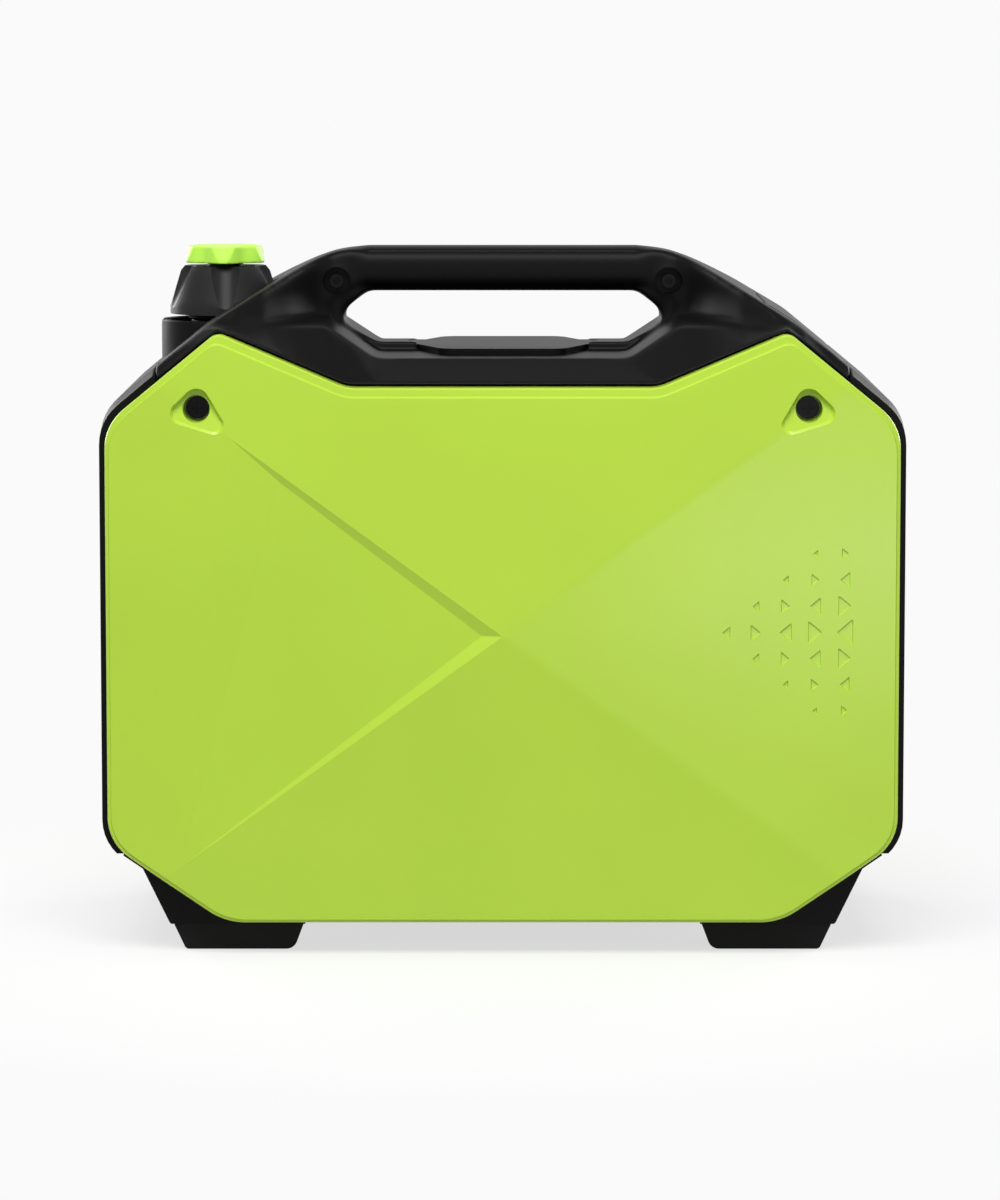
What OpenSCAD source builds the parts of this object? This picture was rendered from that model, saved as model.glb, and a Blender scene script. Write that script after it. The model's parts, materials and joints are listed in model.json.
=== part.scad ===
// Suitcase inverter generator: plastic shell, carrying handle, four-stroke engine, alternator and inverter.
// Millimetres. X runs along the handle, Y from the photographed panel to the rear one, Z up from the floor.

/* [Overall] */
// Length over the two end covers
body_l = 500; // [496:1:510]
// Width over the crowns of the two side panels
body_w = 290; // [290:1:300]
// Height of the top of the carrying handle
body_h = 437; // [435:1:440]
// Wall of the moulded plastic shells
wall = 3; // [2.5:0.5:3.5]
// Clearance under the body
foot_h = 22; // [20:1:24]
// Height of the rubber pads
pad_h = 16; // [14:1:18]

/* [Side panels] */
// Height of the crown where the four facets meet
crown_z = 202; // [195:1:210]
// Fall of the facets from the crown to the panel edge
crown_fall = 11; // [8:0.5:13]
// Depth of the sunk left facet at the crown
sink_depth = 3.5; // [3:0.5:6]
// Depth of the triangle dimples
dimple_depth = 1.2; // [0.6:0.1:1.6]
// Distance of the panel screws from the middle
screw_x = 189; // [186:1:191]
// Height of the panel screws
screw_z = 342; // [340:1:344]

/* [Handle] */
// Half width of the carrying grip
grip_half = 18; // [16:1:20]
// Underside of the grip
grip_z = 408; // [404:1:410]
// Height of the deck under the grip
deck_z = 370.5; // [368:0.5:372]
// Distance of the handle bolts from the middle
bolt_x = 106; // [105:1:108]
// Height of the handle bolts
bolt_z = 415; // [414:1:417]
// Thickness of the raised spark plug cover
lid_t = 4; // [3:0.5:5]

/* [Fuel] */
// Filler axis along the body
filler_x = -178; // [-180:1:-176]
// Radius of the filler collar
collar_r = 41; // [39:0.5:42]
// Top of the filler collar
collar_top = 390; // [386:1:391]
// Radius of the fuel cap
cap_r = 35.4; // [34:0.2:36]
// Radius of the vent knob
knob_r = 26.2; // [25.6:0.2:26.8]

/* [Controls] */
// Distance of the control plate from the middle
plate_x = 228; // [226:1:230]
// Half width of the control well
well_y = 94; // [90:1:98]
// Bottom of the control well
well_low = 99; // [97:1:101]
// Top of the control well
well_high = 255; // [250:1:256]

/* [Engine] */
// Crankshaft axis along the body
crank_x = 60; // [58:1:62]
// Crankshaft axis above the floor
crank_z = 130; // [128:1:132]
// Lean of the cylinder towards the control end, degrees
tilt = 20; // [18:1:22]
// Throw of the crank pin
throw = 20; // [18:1:21]
// Cylinder bore radius
bore_r = 24; // [23:0.5:24.5]
// Pitch radius of the rope on the starter reel
reel_r = 26; // [25:0.5:27]

/* [Hidden] */
$fn = 64;
arc_steps = 6;
half_l = body_l / 2;
half_w = body_w / 2;
rim = 4;
panel_l = half_l - rim;
seat_y = half_w - 31;
rim_y = half_w - 22;
border_y = half_w - 14;
black = [0.13, 0.13, 0.13];
green = [0.68, 0.84, 0.26];
alloy = [0.7, 0.71, 0.72];
steel = [0.55, 0.56, 0.58];
rubber = [0.08, 0.08, 0.08];

// Outline of a side panel: bottom corner, side, shoulder, apex and dip of the right half, with their radii
shoulder_z = 332;
panel_low = foot_h - 1.4;
apex = [panel_l - 69.5, 389];
dip = [96.5, 355];
right_half = [[panel_l - 73, panel_low], [panel_l, 71], [panel_l, shoulder_z], apex, dip];
right_radii = [40, 30, 32, 9, 30];
slope = (apex[1] - shoulder_z) / (panel_l - apex[0]);
function reverse(list) = [for (i = [len(list) - 1:-1:0]) list[i]];
function flip(list) = concat(list, reverse(list));
function both(right) = concat(right, [for (p = reverse(right)) [-p[0], p[1]]]);
outline = both(right_half);
radii = flip(right_radii);

// Geometry helpers: a rounded outline, and one whose edges are moved out by a distance each
function unit(v) = v / norm(v);
function at(list, i) = list[(i + len(list)) % len(list)];
function fillet(a, b, c, r) = let (
    u = unit(a - b),
    w = unit(c - b),
    half = acos(u * w) / 2,
    middle = b + unit(u + w) * r / sin(half),
    from = b + u * r / tan(half) - middle,
    to = b + w * r / tan(half) - middle,
    start = atan2(from[1], from[0]),
    sweep = (atan2(to[1], to[0]) - start + 540) % 360 - 180)
    [for (i = [0:arc_steps]) middle + r * [cos(start + sweep * i / arc_steps), sin(start + sweep * i / arc_steps)]];
function rounded(pts, rs) =
    [for (i = [0:len(pts) - 1]) each fillet(at(pts, i - 1), pts[i], at(pts, i + 1), rs[i])];
function outward(a, b) = [unit(b - a)[1], -unit(b - a)[0]];
function moved(p, n, m, d, e) = p + [d * m[1] - e * n[1], e * n[0] - d * m[0]] / (n[0] * m[1] - n[1] * m[0]);
function shifted(pts, ds) = [for (i = [0:len(pts) - 1]) moved(pts[i], outward(at(pts, i - 1), pts[i]),
    outward(pts[i], at(pts, i + 1)), at(ds, i - 1), ds[i])];
function grown(pts, d) = shifted(pts, [for (p = pts) d]);
function box_2d(x0, y0, x1, y1) = [[x0, y0], [x1, y0], [x1, y1], [x0, y1]];

module across(y0, y1) translate([0, y1, 0]) rotate([90, 0, 0]) linear_extrude(y1 - y0) children();
module along(x0, x1) translate([x0, 0, 0]) rotate([90, 0, 90]) linear_extrude(x1 - x0) children();
module rod_y(x, z, y0, y1, r) across(y0, y1) translate([x, z]) circle(r);
module rod_x(y, z, x0, x1, r) along(x0, x1) translate([y, z]) circle(r);
module ring_y(x, z, y0, y1, r, hole) across(y0, y1) translate([x, z]) difference() {
    circle(r);
    circle(hole);
}
module block(x0, x1, y0, y1, z0, z1) translate([x0, y0, z0]) cube([x1 - x0, y1 - y0, z1 - z0]);
module rounded_plate(half_x, half_y, r) polygon(rounded(
    [[-half_x, -half_y], [half_x, -half_y], [half_x, half_y], [-half_x, half_y]], [r, r, r, r]));
module both_sides() {
    children();
    mirror([1, 0, 0]) children();
}

// Side panels
crown_half_z = 179;
function corner(sx, sz, f) = [f * sx * panel_l, -half_w + f * crown_fall, crown_z + f * sz * crown_half_z];
function facet_y(x, z) = -half_w + crown_fall * max(abs(x) / panel_l, abs(z - crown_z) / crown_half_z);
corners = [[-1, -1], [1, -1], [1, 1], [-1, 1]];

module faceted_front() polyhedron(
    points = concat([[0, -half_w, crown_z]], [for (c = corners) corner(c[0], c[1], 2)],
        [for (c = corners) [2 * c[0] * panel_l, 0, crown_z + 2 * c[1] * crown_half_z]]),
    faces = concat([for (i = [1:4]) [i, 0, i % 4 + 1]], [for (i = [1:4]) [i, i % 4 + 1, i % 4 + 5, i + 4]],
        [[5, 6, 7, 8]]));

sunk_tip = -13;
module sunk_facet() {
    crown = [0, -half_w, crown_z];
    top = corner(-1, 1, 0.685);
    low = corner(-1, -1, 0.81);
    tip = [sunk_tip, facet_y(sunk_tip, crown_z) + sink_depth, crown_z];
    lift = [0, -20, 0];
    polyhedron(points = [crown, top, low, tip, crown + lift, top + lift, low + lift],
        faces = [[4, 6, 5], [6, 4, 0, 2], [5, 6, 2, 1], [4, 5, 1, 0], [1, 2, 3], [2, 0, 3], [0, 1, 3]]);
}

module panel_form(inset) difference() {
    intersection() {
        faceted_front();
        union() {
            across(-border_y, -seat_y) polygon(rounded(grown(outline, -inset), radii));
            across(-half_w - 5, -seat_y) polygon(rounded(grown(outline, -inset - 5), radii));
        }
    }
    sunk_facet();
}

pocket = [[2, 17.5], [-22.7, -5.9], [24.2, -19.7]];
pocket_y = border_y;
screw_y = seat_y + 3;
module pocket_shape(d) translate([-screw_x, screw_z]) polygon(rounded(grown([pocket[1], pocket[2], pocket[0]], d),
    [7 + d, 6 + d, 8 + d]));
module screw_pockets() both_sides() {
    across(-half_w, -pocket_y) pocket_shape(0);
    rod_y(-screw_x, screw_z, -half_w, -screw_y, 8.5);
    rod_y(-screw_x, screw_z, -half_w, 0, 2.8);
}
module screw_bosses() both_sides() across(-half_w, -seat_y) pocket_shape(wall);

dimple_start = [138.2, crown_z + 1.6];
dimple_pitch = [18.43, 16.35];
module dimples() for (row = [-3:3], column = [abs(row):4]) {
    step = column - abs(row);
    x = dimple_start[0] + column * dimple_pitch[0];
    z = dimple_start[1] + row * dimple_pitch[1];
    h = 8.6 + 2.15 * step - 1.2 * abs(row);
    side = step % 2 == 0 ? -1 : 1;
    across(-half_w, facet_y(x, z) + dimple_depth)
        polygon([[x - side * 0.3 * h, z - h / 2], [x + side * 0.3 * h, z], [x - side * 0.3 * h, z + h / 2]]);
}

module side_panel() difference() {
    panel_form(0);
    difference() {
        translate([0, wall, 0]) panel_form(wall);
        screw_bosses();
    }
    screw_pockets();
    dimples();
}

module front_side_panel() color(green) side_panel();

// Starter pocket of the rear panel, with the rope hole in its floor
grip_x = crank_x + reel_r;
grip_at_z = 226;
pocket_floor = seat_y + 5;
module starter_pocket_shape(d) translate([grip_x, grip_at_z]) rounded_plate(46 + d, 26 + d, 10 + d);

module rear_side_panel() color(green) difference() {
    union() {
        mirror([0, 1, 0]) side_panel();
        intersection() {
            across(pocket_floor, half_w) starter_pocket_shape(wall);
            mirror([0, 1, 0]) panel_form(0);
        }
    }
    across(pocket_floor + wall, half_w + 1) starter_pocket_shape(0);
    rod_y(grip_x, grip_at_z, 0, half_w, 4);
}

module panel_screw() color(black) difference() {
    union() {
        rod_y(-screw_x, screw_z, -screw_y - 4.5, -screw_y, 7);
        rod_y(-screw_x, screw_z, -screw_y, -seat_y + 10, 2.5);
    }
    for (turn = [0, 90]) translate([-screw_x, -screw_y - 4.5, screw_z]) rotate([0, turn, 0])
        cube([8, 4, 1.6], center = true);
}
module panel_screws() both_sides() {
    panel_screw();
    mirror([0, 1, 0]) panel_screw();
}

// Roof over the body: two handle halves with flared legs and a deck under the grip
tongue_x = 166;
tongue_y = 72;
seam_x = 215;
fit_gap = 0.4;
crease_y = 92;
crease_z = 391;
deck_end = 110;
opening = both([[80, deck_z + 5.5], [deck_end - 2, 391.5], [86, grip_z]]);
opening_radii = flip([14, 8, 12]);
function ridge_z(x) = lookup(abs(x), [[86, body_h], [98, body_h - 1.2], [107, body_h - 3.2], [118, body_h - 7],
    [130, body_h - 12.7], [150, 413], [186, 391], [half_l, 338]]);
function edge_z(x) = min(apex[1] - 1.2, abs(x) > apex[0] ? apex[1] - (abs(x) - apex[0]) * slope
    : lookup(abs(x), [dip, apex]));
function leg_y(x) = lookup(abs(x), [[deck_end, grip_half + 0.5], [118, 25], [126, 38], [135, 56], [150, 83],
    [tongue_x, 99], [apex[0], 106], [205, rim_y - 12]]);
leg_draft = 4;
ramp_x = 79;
function ramp_z(x) = lookup(abs(x), [[ramp_x, deck_z], [deck_end, crease_z]]);

// Half sections of the roof at one station: middle plane, steep wall of the leg, shelf, flare and rim
lip_h = 2.2;
function leg_section(x, t) = let (
    low = edge_z(x) + 1,
    lip = low + lip_h,
    top = max(ridge_z(x), lip + 1),
    fold = min(max(crease_z, lip + 0.5), top - 0.5),
    foot = leg_y(x) + leg_draft)
    [[x, t, low - 4 * t], [x, t, top - t], [x, t - leg_y(x), top - t], [x, t - foot, min(fold + 1, top - 0.2) - t],
        [x, t - max(crease_y, foot + 1), fold - t], [x, t - rim_y + lip_h, lip - t], [x, t - rim_y, low + 1 - t],
        [x, t - rim_y, low - 4 * t]];
function deck_section(x, t) = let (low = edge_z(x) + 1)
    [[x, t, low - 4 * t], [x, t, ramp_z(x) - t], [x, t - leg_y(x), ramp_z(x) - t],
        [x, t - leg_y(x) - leg_draft, ramp_z(x) - t], [x, t - crease_y, ramp_z(x) - t],
        [x, t - rim_y + lip_h, low + lip_h - t], [x, t - rim_y, low + 1 - t], [x, t - rim_y, low - 4 * t]];

// A run of matching sections joined into one solid
function bridge(i, j, n) = let (a = i * n + j, b = i * n + (j + 1) % n) [[a, b + n, b], [a, a + n, b + n]];
module loft(sections) {
    n = len(sections[0]);
    s = len(sections);
    polyhedron(points = [for (section = sections) each section],
        faces = concat([[for (j = [0:n - 1]) j]], [[for (j = [1:n]) s * n - j]],
            [for (i = [0:s - 2], j = [0:n - 1]) each bridge(i, j, n)]));
}
function leg_stations(t) = [deck_end + t, 118, 126, 135, 150, tongue_x, apex[0], 186, 205, seam_x - t];
module roof(t) loft(concat([for (x = reverse(leg_stations(t))) leg_section(-x, t)],
    [for (x = [-deck_end - t + 0.5, -dip[0], -ramp_x, ramp_x, dip[0], deck_end + t - 0.5]) deck_section(x, t)],
    [for (x = leg_stations(t)) leg_section(x, t)]));

module arch() across(-grip_half, 0) difference() {
    polygon(both([[126, deck_z - 4], [126, bolt_z + 6], [115, ridge_z(115) - 1], [deck_end, ridge_z(deck_end) + 0.4],
        [107, ridge_z(107)], [98, ridge_z(98)], [86, body_h]]));
    polygon(rounded(opening, opening_radii));
}

module handle_half() difference() {
    union() {
        roof(0);
        arch();
    }
    difference() {
        roof(wall);
        arch();
        both_sides() rod_y(bolt_x, bolt_z, -rim_y, 0, 12);
    }
    both_sides() {
        rod_y(bolt_x, bolt_z, -rim_y, -14, 8.8);
        rod_y(bolt_x, bolt_z, -rim_y, 1, 2.7);
        block(tongue_x, half_l, -tongue_y - fit_gap, 1, 300, body_h);
    }
    translate([filler_x, 0, 300]) cylinder(r = collar_r + fit_gap, h = 200);
    translate([0, 0, deck_z]) linear_extrude(30) polygon(rounded(grown(lid_shape, fit_gap), lid_radii));
    block(-45, 45, -45, 1, 340, deck_z + 1);
}
module front_handle_half() color(black) handle_half();
module rear_handle_half() color(black) mirror([0, 1, 0]) handle_half();

module handle_bolts() color(steel) both_sides() difference() {
    union() {
        rod_y(bolt_x, bolt_z, -19, -14, 4.4);
        rod_y(bolt_x, bolt_z, -14, 18.5, 2.5);
    }
    translate([bolt_x, -16, bolt_z]) rotate([90, 0, 0]) cylinder(r = 2.4, h = 5, $fn = 6);
}
module handle_nuts() color(steel) both_sides() difference() {
    translate([bolt_x, 19, bolt_z]) rotate([90, 0, 0]) cylinder(r = 4.6, h = 5, $fn = 6);
    rod_y(bolt_x, bolt_z, 13, 22, 2.55);
}

// Cover over the spark plug, a flat six-sided lid with a skirt that drops into the deck
lid_shape = [[-38, -62], [38, -62], [60, 0], [38, 62], [-38, 62], [-60, 0]];
lid_radii = [for (p = lid_shape) 12];
module spark_plug_cover() color(black) {
    translate([0, 0, deck_z]) linear_extrude(lid_t) polygon(rounded(lid_shape, lid_radii));
    difference() {
        block(-44, 44, -44, 44, deck_z - 9, deck_z + 1);
        block(-42, 42, -42, 42, deck_z - 10, deck_z);
    }
}

// Shell below the roof: base pan and two end covers that share one rim outline
base_top = 61.5;
seam_gap = 1.2;
floor_z = foot_h + 3.5;
cover_out = [4.5, rim, rim, 0, 0, 0, rim, rim, 4.5, -0.5];
pan_out = [2.8, rim, rim, 0, 0, 0, rim, rim, 2.8, -0.5];
rim_in = [for (d = pan_out) 0.5];
tray_in = [-1.5, 0, 0, 0, 0, 0, 0, 0, -1.5, panel_low - floor_z];
module rim_band(outer, inner, region) intersection() {
    difference() {
        polygon(rounded(shifted(outline, outer), radii));
        polygon(rounded(shifted(outline, inner), radii));
    }
    polygon(region);
}

foot_x = 165;
module foot_bracket() polygon([[foot_x + 64.5, 58.8], [foot_x + 21, foot_h + 6.7], [foot_x + 3, foot_h + 1],
    [foot_x - 41, foot_h + 1.3], [foot_x - 41, pad_h], [foot_x + 43.2, pad_h], [foot_x + 44.2, pad_h + 1]]);
module cover_post() polygon([[212, 47.5], [222, 54.5], [236, 71], [242, 84], [246, 93], [246, 98], [236, 98],
    [212, 66]]);
module base_pan() color(black) difference() {
    union() {
        across(-seat_y + fit_gap, seat_y - fit_gap) rim_band(pan_out, tray_in, box_2d(-half_l, 0, half_l, base_top));
        both_sides() across(-rim_y, rim_y) rim_band(pan_out, rim_in, box_2d(panel_l - 66, 0, half_l, base_top));
        both_sides() for (side = [-1, 1]) {
            across(side * 90 - 22, side * 90 + 22) foot_bracket();
            across(side * 104 - 7, side * 104 + 7) cover_post();
        }
        for (side = [-1, 1]) block(-150, 150, side * 108 - 2, side * 108 + 2, floor_z - 1, 44);
    }
    both_sides() for (side = [-1, 1]) rod_x(side * 104, 88, 200, half_l, 2);
}

foot_shape = [[-41.5, pad_h], [-34, 0], [34, 0], [40, pad_h]];
foot_radii = [0.5, 3, 7, 0.5];
module rubber_feet() color(rubber) both_sides() for (side = [-1, 1]) across(side * 90 - 21, side * 90 + 21)
    translate([-foot_x, 0]) polygon(rounded(foot_shape, foot_radii));

tongue = [[tongue_x + fit_gap, 240], [half_l, 240], [half_l, 338], [186, 391],
    [tongue_x + fit_gap, ridge_z(tongue_x)]];
tongue_radii = [1, 1, 32, 60, 1];
tongue_in = [9, -wall, -wall, -wall, 9];

// Shoulder of an end cover: full height between the legs, falling to the rim at both panels
shoulder = [[seam_x + fit_gap, 262], [half_l, 262], [half_l, 338], [seam_x + fit_gap, ridge_z(seam_x + fit_gap)]];
shoulder_fall = [[-rim_y + 0.4, 3.1], [-110, 0], [110, 0], [rim_y - 0.4, 3.1]];
function shoulder_line(open, inset, fall) =
    reverse(rounded(shifted(shoulder, [open, -inset, -inset - fall, open]), [1, 1, 32 - inset, 1]));
module shoulder_form(open, inset) loft([for (station = shoulder_fall)
    [for (p = shoulder_line(open, inset, station[1])) [p[0], station[0], p[1]]]]);

module end_shell() {
    difference() {
        shoulder_form(0, 0);
        shoulder_form(9, wall);
    }
    across(-rim_y, rim_y) rim_band(cover_out, rim_in, box_2d(seam_x, base_top + seam_gap, half_l + 1, 400));
    across(-tongue_y, tongue_y) difference() {
        polygon(rounded(tongue, tongue_radii));
        polygon(rounded(shifted(tongue, tongue_in), tongue_radii));
    }
    for (side = [-1, 1]) across(side * (seat_y - 3) - 2.5, side * (seat_y - 3) + 2.5) difference() {
        intersection() {
            polygon(rounded(grown(outline, 1), radii));
            polygon([[screw_x - 12, screw_z - 16], [half_l, 262], [half_l, 400], [seam_x + 1.5, 400],
                [seam_x + 1.5, 352], [screw_x - 12, 372]]);
        }
        translate([screw_x, screw_z]) circle(2.55);
    }
}
module cover_screw_holes() for (side = [-1, 1]) {
    rod_x(side * 104, 88, half_l - 2.5, half_l + 1, 5);
    rod_x(side * 104, 88, half_l - 10, half_l + 1, 2.2);
}

outlet_y = -40;
outlet_z = 205;
module exhaust_end_cover() color(black) difference() {
    end_shell();
    cover_screw_holes();
    for (i = [0:8]) block(half_l - 12, half_l + 1, -4, 84, 96 + i * 17, 104 + i * 17);
    for (i = [0:3]) block(half_l - 12, half_l + 1, -76, -4, 96 + i * 17, 104 + i * 17);
    rod_x(outlet_y, outlet_z, half_l - 12, half_l + 1, 17);
}

module control_end_cover() color(black) difference() {
    union() {
        mirror([1, 0, 0]) end_shell();
        difference() {
            block(-half_l + 1, -plate_x, -well_y - wall, well_y + wall, well_low - wall, well_high + 7);
            block(-half_l, half_l, -well_y, well_y, well_low, well_high);
        }
    }
    block(-half_l - 1, -half_l + 9, -well_y, well_y, well_low, well_high);
    mirror([1, 0, 0]) cover_screw_holes();
    translate([filler_x, 0, 300]) cylinder(r = collar_r + fit_gap, h = 200);
}

module cover_screws() color(steel) both_sides() for (side = [-1, 1]) {
    rod_x(side * 104, 88, half_l - 2.5, half_l - 0.3, 4.4);
    rod_x(side * 104, 88, half_l - 14, half_l - 2.5, 1.95);
}

// Round run through points in one upright plane, with a ball at each bend
module pipe(points, r) for (i = [0:len(points) - 2]) {
    run = points[i + 1] - points[i];
    translate(points[i]) rotate([0, atan2(run[0], run[2]), 0]) cylinder(r = r, h = norm(run));
    translate(points[i + 1]) sphere(r = r + 0.2);
}

// Fuel system
neck_top = collar_top + 0.5;
neck_r = 22;
tank_low = 262;
tank_top = 345;
tank_shape = [[-238, tank_low], [-62, tank_low], [-62, tank_top], [-198, tank_top], [-238, 312]];
tank_radii = [8, 12, 12, 12, 8];
module fuel_tank() color(black) difference() {
    across(-86, 86) polygon(rounded(tank_shape, tank_radii));
    across(-83, 83) polygon(rounded(grown(tank_shape, -wall), tank_radii));
    translate([filler_x, 0, tank_low + 10]) cylinder(r = neck_r - wall, h = 200);
}
module filler_collar() color(black) difference() {
    translate([filler_x, 0, tank_top]) cylinder(r = collar_r, h = collar_top - tank_top);
    translate([filler_x, 0, tank_top + wall]) difference() {
        cylinder(r = collar_r - 4, h = 100);
        cylinder(r = neck_r, h = neck_top - tank_top - wall);
    }
    translate([filler_x, 0, 0]) cylinder(r = neck_r - wall, h = 500);
    block(filler_x - 50, filler_x - 30, -5, 5, collar_top - 3, 400);
}

cap_low = neck_top + 3;
cap_top = 424;
module cap_gasket() color(rubber) translate([filler_x, 0, neck_top]) difference() {
    cylinder(r = neck_r + 2, h = 3);
    cylinder(r = neck_r - wall - 0.5, h = 10, center = true);
}
module cap_core() color(black) translate([filler_x, 0, 0]) {
    translate([0, 0, cap_low]) cylinder(r = 24.4, h = 18);
    translate([0, 0, cap_low - 18]) cylinder(r = neck_r - wall - 0.6, h = 18);
}
module fuel_cap() color(black) translate([filler_x, 0, 0]) difference() {
    rotate_extrude() polygon([[0, cap_low], [cap_r, cap_low], [cap_r, cap_low + 5], [28.5, cap_top - 3],
        [26, cap_top], [11.5, cap_top], [11.5, cap_top + 1.7], [0, cap_top + 1.7]]);
    translate([0, 0, cap_low - 1]) cylinder(r = 24.5, h = 19.5);
    translate([0, 0, cap_top - 6]) cylinder(r = 8.1, h = 10);
    for (i = [0:4]) rotate([0, 0, i * 72 - 87]) translate([cap_r + 13.86, 0, cap_low + 4]) rotate([0, -30, 0])
        cylinder(r = 12, h = 90, center = true);
}
knob_low = cap_top + 2;
lobe = 2.4;
star = [for (i = [0:79]) let (a = i * 4.5) (knob_r - lobe + lobe * cos(5 * a + 450)) * [cos(a), sin(a)]];
module vent_knob() color(green) translate([filler_x, 0, 0]) {
    translate([0, 0, cap_top - 5.7]) cylinder(r = 8, h = 8);
    intersection() {
        translate([0, 0, knob_low]) linear_extrude(body_h - knob_low) polygon(star);
        rotate_extrude() polygon([[0, knob_low], [knob_r + 0.2, knob_low], [knob_r - 2.6, body_h], [0, body_h]]);
    }
}
hose = [[-72, 30, tank_low], [-72, 30, 222], [-44, 30, 222]];
module fuel_hose() color(rubber) {
    pipe(hose, 3.5);
    rod_y(hose[2][0], hose[2][2], 0, hose[2][1], 3.5);
}

// Engine, drawn upright in its own frame and then leaned about the crankshaft
bore_y = -19;
deck_w = 62;
head_w = 106;
cover_w = 138;
pin_w = throw + 65;
module engine_frame() translate([crank_x, 0, crank_z]) rotate([0, -tilt, 0]) children();
module on_bore() engine_frame() translate([0, bore_y, 0]) children();

module engine_mounts() color(rubber) for (x = [-44, 44], y = [-38, 2]) translate([crank_x + x, y, floor_z])
    cylinder(r = 11, h = 45 - floor_z);

module crankcase() color(alloy) difference() {
    union() {
        engine_frame() block(-52, 52, -56, 20, -56, deck_w);
        block(crank_x - 60, crank_x + 60, -50, 14, 45, 75);
        rod_y(crank_x, crank_z, 19, 34, 28);
    }
    rod_y(crank_x, crank_z, -57, 8, 47.5);
    rod_y(crank_x, crank_z, 0, 35, 15.5);
    on_bore() translate([0, 0, 10]) cylinder(r = bore_r + 4, h = 60);
}
module crankcase_cover() color(alloy) difference() {
    engine_frame() block(-52, 52, -66, -56, -56, deck_w);
    rod_y(crank_x, crank_z, -62, -50, 44);
    oil_hole(8);
}
module oil_hole(r) engine_frame() rod_y(36, -42, -70, -50, r);
module oil_filler_cap() color(rubber) engine_frame() {
    rod_y(36, -42, -76, -66, 12);
    rod_y(36, -42, -66, -57, 7.8);
}
module cylinder_block() color(alloy) on_bore() difference() {
    union() {
        translate([0, 0, deck_w]) cylinder(r = bore_r + 5, h = head_w - deck_w);
        for (i = [0:5]) translate([0, 0, deck_w + 2 + i * 7]) cylinder(r = 38, h = 2.5);
    }
    cylinder(r = bore_r, h = 200);
}
module cylinder_head() color(alloy) difference() {
    engine_frame() block(-40, 40, -57, 19, head_w, cover_w);
    for (i = [0:2]) engine_frame() block(-41, 41, 12, 20, head_w + 6 + i * 9, head_w + 11 + i * 9);
    engine_frame() rod_x(bore_y, port_w, -41, -14, 9);
    engine_frame() rod_x(bore_y, port_w, 14, 41, 9);
    engine_frame() translate([0, plug_y, head_w - 1]) cylinder(r = 6, h = 60);
}
port_w = 122;
plug_y = 4;
module valve_cover() color(black) engine_frame() difference() {
    block(-36, 36, -55, -8, cover_w, cover_w + 20);
    block(-33.5, 33.5, -52.5, -10.5, cover_w - 1, cover_w + 17.5);
}
module spark_plug() color(steel) engine_frame() translate([0, plug_y, 0]) {
    translate([0, 0, head_w + 10]) cylinder(r = 5.9, h = cover_w - head_w - 10);
    translate([0, 0, cover_w]) cylinder(r = 8, h = 8, $fn = 6);
    translate([0, 0, cover_w + 8]) cylinder(r = 5, h = 24);
    translate([0, 0, cover_w + 32]) cylinder(r = 3, h = 6);
}
module spark_plug_boot() color(rubber) engine_frame() translate([0, plug_y, cover_w + 10]) difference() {
    cylinder(r = 10, h = 46);
    translate([0, 0, -1]) cylinder(r = 5.05, h = 30);
}

module crankshaft() color(steel) {
    rod_y(crank_x, crank_z, -8, 6, 30);
    rod_y(crank_x, crank_z, 6, 104, 8.5);
    engine_frame() rod_y(0, throw, bore_y + 9.5, -7, 9);
}
module main_bearings() color(steel) for (y = [9, 23]) ring_y(crank_x, crank_z, y, y + 10, 15.45, 8.55);
module connecting_rod() color(steel) engine_frame() across(bore_y - 9, bore_y + 9) difference() {
    union() {
        translate([0, throw]) circle(15);
        translate([0, pin_w]) circle(9);
        polygon([[-9, throw], [9, throw], [6, pin_w], [-6, pin_w]]);
    }
    translate([0, throw]) circle(9.1);
    translate([0, pin_w]) circle(6.05);
}
module gudgeon_pin() color(steel) engine_frame() rod_y(0, pin_w, bore_y - 21, bore_y + 21, 6);
module piston() color(alloy) difference() {
    on_bore() translate([0, 0, pin_w - 14]) cylinder(r = bore_r - 0.06, h = 32);
    on_bore() translate([0, 0, pin_w - 15]) cylinder(r = bore_r - 3.5, h = 28);
    engine_frame() rod_y(0, pin_w, bore_y - 30, bore_y + 30, 6.05);
}

// Intake and exhaust
carb_u = [-92, -40];
module carburettor_envelope() engine_frame() {
    block(carb_u[0], carb_u[1], bore_y - 19, bore_y + 19, port_w - 16, port_w + 16);
    translate([-68, bore_y, port_w - 38]) cylinder(r = 15, h = 30);
}
throttle_u = -56;
choke_u = -80;
module carburettor() color(alloy) difference() {
    carburettor_envelope();
    engine_frame() rod_x(bore_y, port_w, -100, -39, 9);
    for (u = [throttle_u, choke_u]) engine_frame() rod_y(u, port_w, bore_y - 40, bore_y + 40, 1.7);
}
module butterfly(u, open) engine_frame() translate([u, 0, port_w]) rotate([0, open, 0]) {
    rod_y(0, 0, bore_y - 23, bore_y + 23, 1.6);
    difference() {
        translate([0, bore_y, 0]) rotate([0, 90, 0]) cylinder(r = 8.8, h = 1.2, center = true);
        rod_y(0, 0, bore_y - 23, bore_y + 23, 0.5);
    }
}
module throttle_valve() color(steel) butterfly(throttle_u, 0);
module choke_valve() color(steel) butterfly(choke_u, 90);
module air_box() color(black) engine_frame() difference() {
    block(-140, carb_u[0], -58, 22, 84, 160);
    block(-137.5, carb_u[0] - 2.5, -55.5, 19.5, 86.5, 157.5);
    rod_x(bore_y, port_w, -100, -90, 9);
}
module air_filter() color(rubber) engine_frame() block(-137.5, -112, -55.5, 19.5, 86.5, 157.5);

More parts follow.
